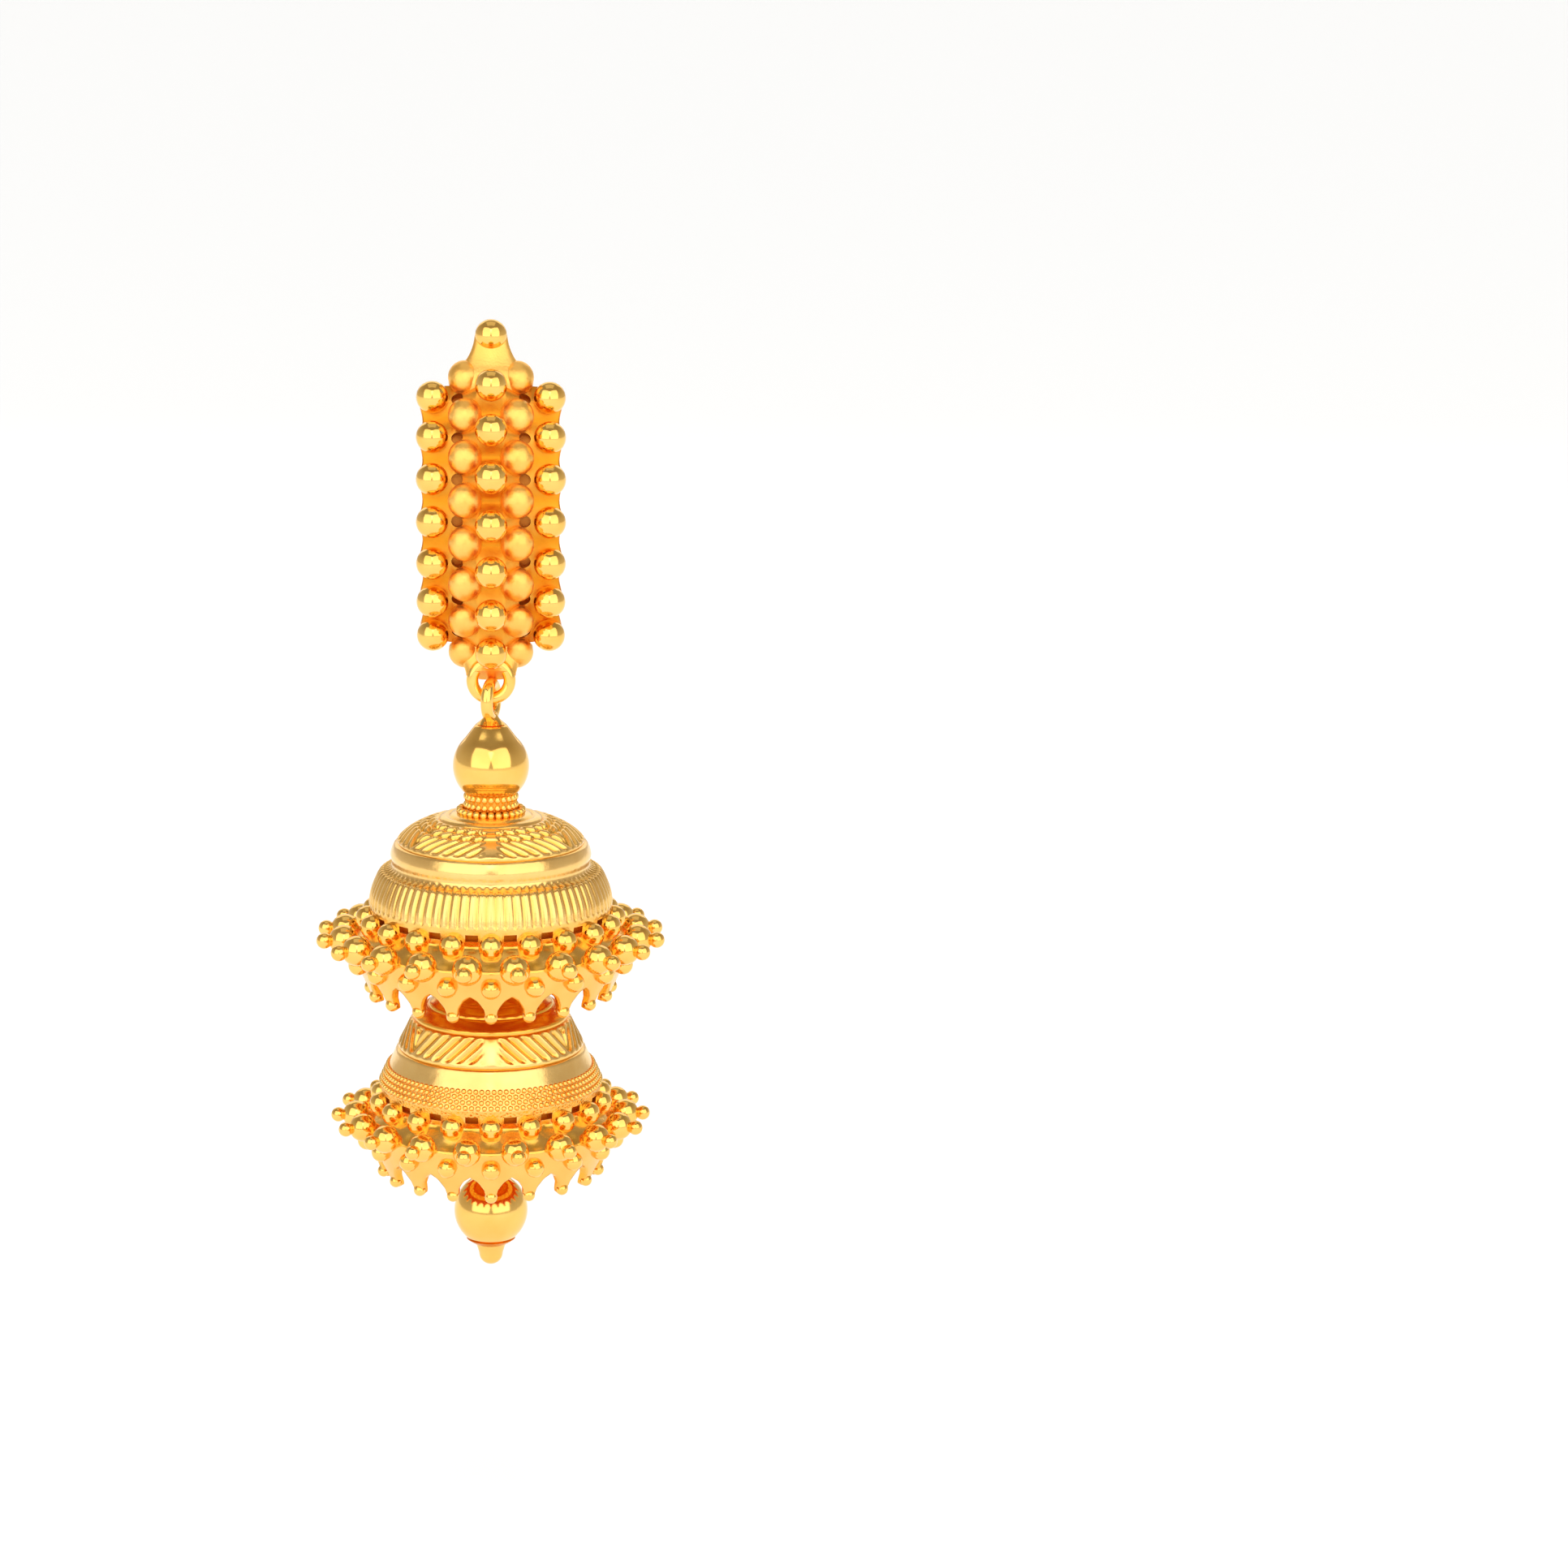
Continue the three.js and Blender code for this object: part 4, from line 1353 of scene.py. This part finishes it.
@dataclass(frozen=True)
class Stack:
    """The head pin and the turned pieces that it carries."""

    trees: Trees
    loop_radius: float = 0.9
    loop_wire_radius: float = 0.33
    loop_yaw: float = 15.0
    pin_radius: float = 0.35
    blob_radius: float = 0.78
    blob_height: float = 0.62
    seat_gap: float = 0.05
    ball_lift: float = 0.7
    ball_waist: float = 0.69
    reeds: int = 24
    reed_radius: float = 0.17
    crown_grains: int = 26
    grain_radius: float = 0.2
    cap_wall: float = 0.07
    tip_radius: float = 0.66
    tip_drop: float = 0.12
    ball_neck_turn: float = 24.0
    cap_turns: tuple[float, float] = (40.0, 22.0)
    cap_seat_turn: float = 39.0

    FLAT_MARGIN = 1.01
    CAP_STEPS = 12
    REED_CORE = 0.9
    CORE_EDGE = 0.08
    REED_ROWS = (("collar_reeds_top", 0.25), ("collar_reeds_foot", -0.25))
    TIP_STEPS = 16
    TIP_SPACING = 0.05
    TIP_EDGE = (0.95, 0.1)
    TIP_SHOULDER = (1.1, 0.22)

    @property
    def back(self) -> float:
        """How far back the axis is, from the frame."""
        low, high = node_span("upper_ball")
        return (low.y + high.y) / 2

    def pin(self) -> None:
        """Builds the wire loop, the solder blob under it and the straight pin."""
        low, high = node_span("head_pin")
        level = high.z - self.loop_radius - self.loop_wire_radius
        loop = self.trees.wire_ring.grow(
            "pin_loop", BURNISHED_GOLD, Radius=self.loop_radius * MM,
            Wire=self.loop_wire_radius * MM, Yaw=math.radians(90 - self.loop_yaw),
            Back=self.back * MM, Level=level * MM)
        bottom = level - self.loop_radius - self.loop_wire_radius - self.seat_gap
        waist = self.loop_wire_radius
        blob = [(waist + (self.blob_radius - waist) * (1 - t) ** 2, bottom + self.blob_height * t)
                for t in np.linspace(0, 1, 12)]
        outline = [(0.0, low.z), (self.pin_radius, low.z), (self.pin_radius, bottom),
                   *blob, (0.0, bottom + self.blob_height)]
        points, faces = turned(outline, 40)
        shaft = closed_piece("pin_shaft", [(x, y + self.back, z) for x, y, z in points], faces,
                             BURNISHED_GOLD)
        for piece in (loop, shaft):
            settle(piece, Body.DROP, ["head_pin"])

    def balls(self) -> None:
        """Builds the onion-shaped ball, the lower ball and the bead that ends the pin."""
        low, high = node_span("upper_ball")
        radius = high.x
        neck = math.radians(self.ball_neck_turn)
        rise = radius * math.cos(neck) + self.ball_lift * (
            (math.cos(neck) - self.ball_waist) / (1 - self.ball_waist)) ** 2
        centre = high.z - rise
        upper = self.trees.ball.grow(
            "onion_ball", BURNISHED_GOLD, Radius=radius * MM, Lift=self.ball_lift * MM,
            Waist=self.ball_waist, Neck=neck, Foot=math.acos((low.z - centre) / radius),
            Back=self.back * MM, Level=centre * MM)
        low, high = node_span("lower_ball")
        half, centre, radius = (high.z - low.z) / 2, (high.z + low.z) / 2, high.x
        flat = math.acos(half / (radius * self.FLAT_MARGIN))
        lower = self.trees.ball.grow(
            "foot_ball", BURNISHED_GOLD, Radius=radius * MM, Lift=0.0, Waist=0.0, Neck=flat,
            Foot=math.pi - flat, Back=self.back * MM, Level=centre * MM)
        cap_radius = radius + self.cap_wall
        curve = [(cap_radius * math.sin(a), centre - cap_radius * math.cos(a))
                 for a in np.radians(np.linspace(*self.cap_turns, self.CAP_STEPS))]
        seat = math.radians(self.cap_seat_turn)
        edge = radius * math.sin(seat), centre - radius * math.cos(seat)
        outline = [(0.0, edge[1]), edge, *curve, (0.0, curve[-1][1])]
        points, faces = turned(outline, WIDE_SIDES)
        # The cap is a thin collar on the ball; its deep gold and full tone are painted shade for the
        # dark band at the ball's foot.
        cap = closed_piece("foot_cap", [(x, y + self.back, z) for x, y, z in points], faces,
                           PLATE_GOLD, TURNED_CREASE, [1.0] * len(points))
        low, high = node_span("tip_bead")
        bead = self.tip_radius
        centre = low.z + bead - self.tip_drop
        narrow, down = self.TIP_EDGE
        wide, above = self.TIP_SHOULDER
        knots = [(high.x, high.z), (high.x * narrow, high.z - down),
                 (bead * wide, centre + above), (bead, centre)]
        under = [(bead * math.cos(a), centre - bead * math.sin(a))
                 for a in np.linspace(0, math.pi / 2, self.TIP_STEPS)[1:-1]]
        curve = flowing(knots, self.TIP_SPACING)
        outline = [(0.0, high.z), *map(tuple, curve), *under, (0.0, centre - bead)]
        points, faces = turned(outline, PLAIN_SIDES)
        tip = closed_piece("pin_tip", [(x, y + self.back, z) for x, y, z in points], faces,
                           BURNISHED_GOLD)
        for piece, node in ((upper, "upper_ball"), (lower, "lower_ball"),
                            (cap, "lower_ball"), (tip, "tip_bead")):
            settle(piece, Body.DROP, [node])

    def collar(self) -> None:
        """Builds the reeded collar between the ball and the upper bell."""
        low, high = node_span("collar")
        radius, height, middle = high.x, high.z - low.z, (high.z + low.z) / 2
        core, soft = radius - self.reed_radius * self.REED_CORE, self.CORE_EDGE
        outline = [(0.0, high.z), (core - soft, high.z), (core, high.z - soft),
                   (core, low.z + soft), (core - soft, low.z), (0.0, low.z)]
        points, faces = turned(outline, WIDE_SIDES)
        sleeve = closed_piece("collar_sleeve", [(x, y + self.back, z) for x, y, z in points],
                              faces, PLATE_GOLD, TURNED_CREASE)
        pieces = [sleeve]
        for name, share in self.REED_ROWS:
            pieces.append(self.trees.round_row.grow(
                name, BURNISHED_GOLD, Count=self.reeds, Sides=FINE_SIDES,
                Row=(radius - self.reed_radius) * MM, Height=(middle + share * height) * MM,
                Phase=0.0, Bead=self.reed_radius * MM, Stretch=height / 4 / self.reed_radius,
                Back=self.back * MM))
        grains = self.trees.round_row.grow(
            "crown_grains", BURNISHED_GOLD, Count=self.crown_grains, Sides=FINE_SIDES,
            Row=(radius + self.grain_radius) * MM, Height=(low.z - self.grain_radius / 3) * MM,
            Phase=0.0, Bead=self.grain_radius * MM, Stretch=1.0, Back=self.back * MM)
        for piece in pieces:
            settle(piece, Body.DROP, ["collar"])
        settle(grains, Body.DROP, ["upper_bell"])

    def build(self) -> None:
        """Builds and dresses the whole stack."""
        self.pin()
        self.balls()
        self.collar()


@dataclass(frozen=True)
class Softbox:
    """A square studio light. Angles are in degrees, azimuth 0 is in front of the earring."""

    name: str
    azimuth: float
    elevation: float
    distance: float
    width: float
    height: float
    brightness: float

    COLOUR = (1.0, 0.985, 0.96)

    def build(self, target: Vector) -> None:
        """Sets the light up, aimed at the earring.

        Args:
            target: Point that it looks at.
        """
        light = bpy.data.lights.new(self.name, "AREA")
        light.shape = "RECTANGLE"
        light.size, light.size_y = self.width, self.height
        light.energy = self.brightness * math.pi * self.width * self.height
        light.color = self.COLOUR
        around, above = math.radians(self.azimuth), math.radians(self.elevation)
        away = Vector((math.sin(around) * math.cos(above),
                       -math.cos(around) * math.cos(above), math.sin(above)))
        holder = bpy.data.objects.new(self.name, light)
        holder.location = target + away * self.distance
        holder.rotation_mode = "QUATERNION"
        holder.rotation_quaternion = (-away).to_track_quat("-Z", "Y")
        holder.visible_camera = False
        bpy.context.scene.collection.objects.link(holder)


@dataclass(frozen=True)
class Studio:
    """Floor, lights and camera. Lengths are in metres and angles in degrees."""

    lens: float = 92.9
    sensor: float = 36.0
    distance: float = 0.22
    elevation: float = 12.0
    picture: int = 1932
    column: int = 605
    level: float = -0.019005
    floor_gap: float = 0.012
    floor_half: float = 6.0
    room_light: tuple[float, float, float] = (2.95, 2.95, 2.95)
    room_in_gold: tuple[float, float, float] = (0.62, 0.58, 0.55)
    overhead_in_gold: tuple[float, float, float] = (0.33, 0.28, 0.22)
    overhead_slope: float = 0.75
    paint: tuple[float, float, float] = (0.34, 0.338, 0.334)
    gold_bounces: int = 10
    softboxes: tuple[Softbox, ...] = (
        Softbox("softbox_left", -34.0, 30.0, 0.36, 0.42, 0.4, 1.2),
        Softbox("softbox_right", 34.0, 30.0, 0.36, 0.42, 0.4, 1.2),
        Softbox("softbox_top", 180.0, 80.0, 0.42, 0.3, 0.3, 0.35),
        Softbox("softbox_back", 180.0, 28.0, 0.42, 0.5, 0.3, 0.65),
    )

    PAINT_ROUGHNESS = 0.8
    PAINT_SHINE = 0.1
    NEAR = 0.01

    def floor(self) -> None:
        """Lays the pale floor under the drop."""
        material = bpy.data.materials.new("pale_floor")
        material.use_nodes = True
        coat = material.node_tree.nodes["Principled BSDF"]
        coat.inputs["Base Color"].default_value = (*self.paint, 1.0)
        coat.inputs["Roughness"].default_value = self.PAINT_ROUGHNESS
        coat.inputs["Specular IOR Level"].default_value = self.PAINT_SHINE
        mesh = bpy.data.meshes.new("floor")
        reach, level = self.floor_half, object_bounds()[0].z - self.floor_gap
        corners = ((-reach, -reach, level), (reach, -reach, level), (reach, reach, level),
                   (-reach, reach, level))
        mesh.from_pydata(corners, [], [(0, 1, 2, 3)])
        mesh.materials.append(material)
        floor = bpy.data.objects.new("floor", mesh)
        bpy.context.scene.collection.objects.link(floor)
        floor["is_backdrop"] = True

    def surroundings(self) -> None:
        """Makes the room bright on the floor and a soft grey in the gold."""
        world = bpy.data.worlds.new("room")
        world.use_nodes = True
        nodes, links = world.node_tree.nodes, world.node_tree.links
        room = nodes["Background"]
        path = nodes.new("ShaderNodeLightPath")
        place = nodes.new("ShaderNodeTexCoord")
        apart = nodes.new("ShaderNodeSeparateXYZ")
        rise = nodes.new("ShaderNodeMapRange")
        rise.inputs["From Max"].default_value = self.overhead_slope
        links.new(place.outputs["Generated"], apart.inputs["Vector"])
        links.new(apart.outputs["Z"], rise.inputs["Value"])
        walls = nodes.new("ShaderNodeMix")
        walls.data_type = "RGBA"
        level, overhead = (s for s in walls.inputs if s.type == "RGBA")
        level.default_value = (*self.room_in_gold, 1.0)
        overhead.default_value = (*self.overhead_in_gold, 1.0)
        links.new(rise.outputs["Result"], walls.inputs["Factor"])
        tones = nodes.new("ShaderNodeMix")
        tones.data_type = "RGBA"
        direct, mirrored = (s for s in tones.inputs if s.type == "RGBA")
        direct.default_value = (*self.room_light, 1.0)
        links.new(next(s for s in walls.outputs if s.type == "RGBA"), mirrored)
        links.new(path.outputs["Is Glossy Ray"], tones.inputs["Factor"])
        mixed = next(s for s in tones.outputs if s.type == "RGBA")
        links.new(mixed, room.inputs["Color"])
        bpy.context.scene.world = world

    def camera(self, axis: Vector) -> None:
        """Sets the camera up at the photograph's angle, turned so that the earring is left of middle.

        Args:
            axis: A point on the drop's axis at the picture's middle row.
        """
        up = math.radians(self.elevation)
        look = Vector((0, math.cos(up), -math.sin(up)))
        lens = bpy.data.cameras.new("camera")
        lens.lens, lens.sensor_width, lens.clip_start = self.lens, self.sensor, self.NEAR
        camera = bpy.data.objects.new("camera", lens)
        camera.location = axis - look * self.distance
        focal = self.lens / self.sensor * self.picture
        pan = math.atan((self.picture / 2 - self.column) / focal)
        camera.rotation_mode = "QUATERNION"
        camera.rotation_quaternion = look.to_track_quat("-Z", "Y") @ Quaternion((0, 1, 0), -pan)
        bpy.context.scene.collection.objects.link(camera)
        bpy.context.scene.camera = camera

    def build(self, back: float) -> None:
        """Builds the whole studio.

        Args:
            back: How far back the drop's axis is, in metres.
        """
        axis = Vector((0, back, self.level))
        self.floor()
        self.surroundings()
        for softbox in self.softboxes:
            softbox.build(axis)
        self.camera(axis)
        bpy.context.scene.view_settings.view_transform = "Standard"
        bpy.context.scene.cycles.max_bounces = self.gold_bounces
        bpy.context.scene.cycles.glossy_bounces = self.gold_bounces


def dress_hidden(nodes: dict[str, bpy.types.Object]) -> None:
    """Gives the spacers inside the bells their gold.

    Args:
        nodes: The frame's nodes.
    """
    for name in ("upper_spacer", "lower_spacer"):
        spacer = nodes[name]
        spacer.data.materials.clear()
        spacer.data.materials.append(BURNISHED_GOLD.material())
        log.info("%s: kept from the frame", name)


def main() -> None:
    """Loads the frame, and builds the earring and the studio."""
    logging.basicConfig(level=logging.INFO, format="%(name)s: %(message)s")
    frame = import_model()
    trees = Trees(round_row_tree(), arc_row_tree(), wire_ring_tree(), burnished_ball_tree())
    Stud(trees).build()
    stack = Stack(trees)
    stack.build()
    for bell in bells(trees):
        bell.build()
    dress_hidden(frame["nodes"])
    Studio().build(stack.back * MM)


if __name__ == "__main__":
    main()
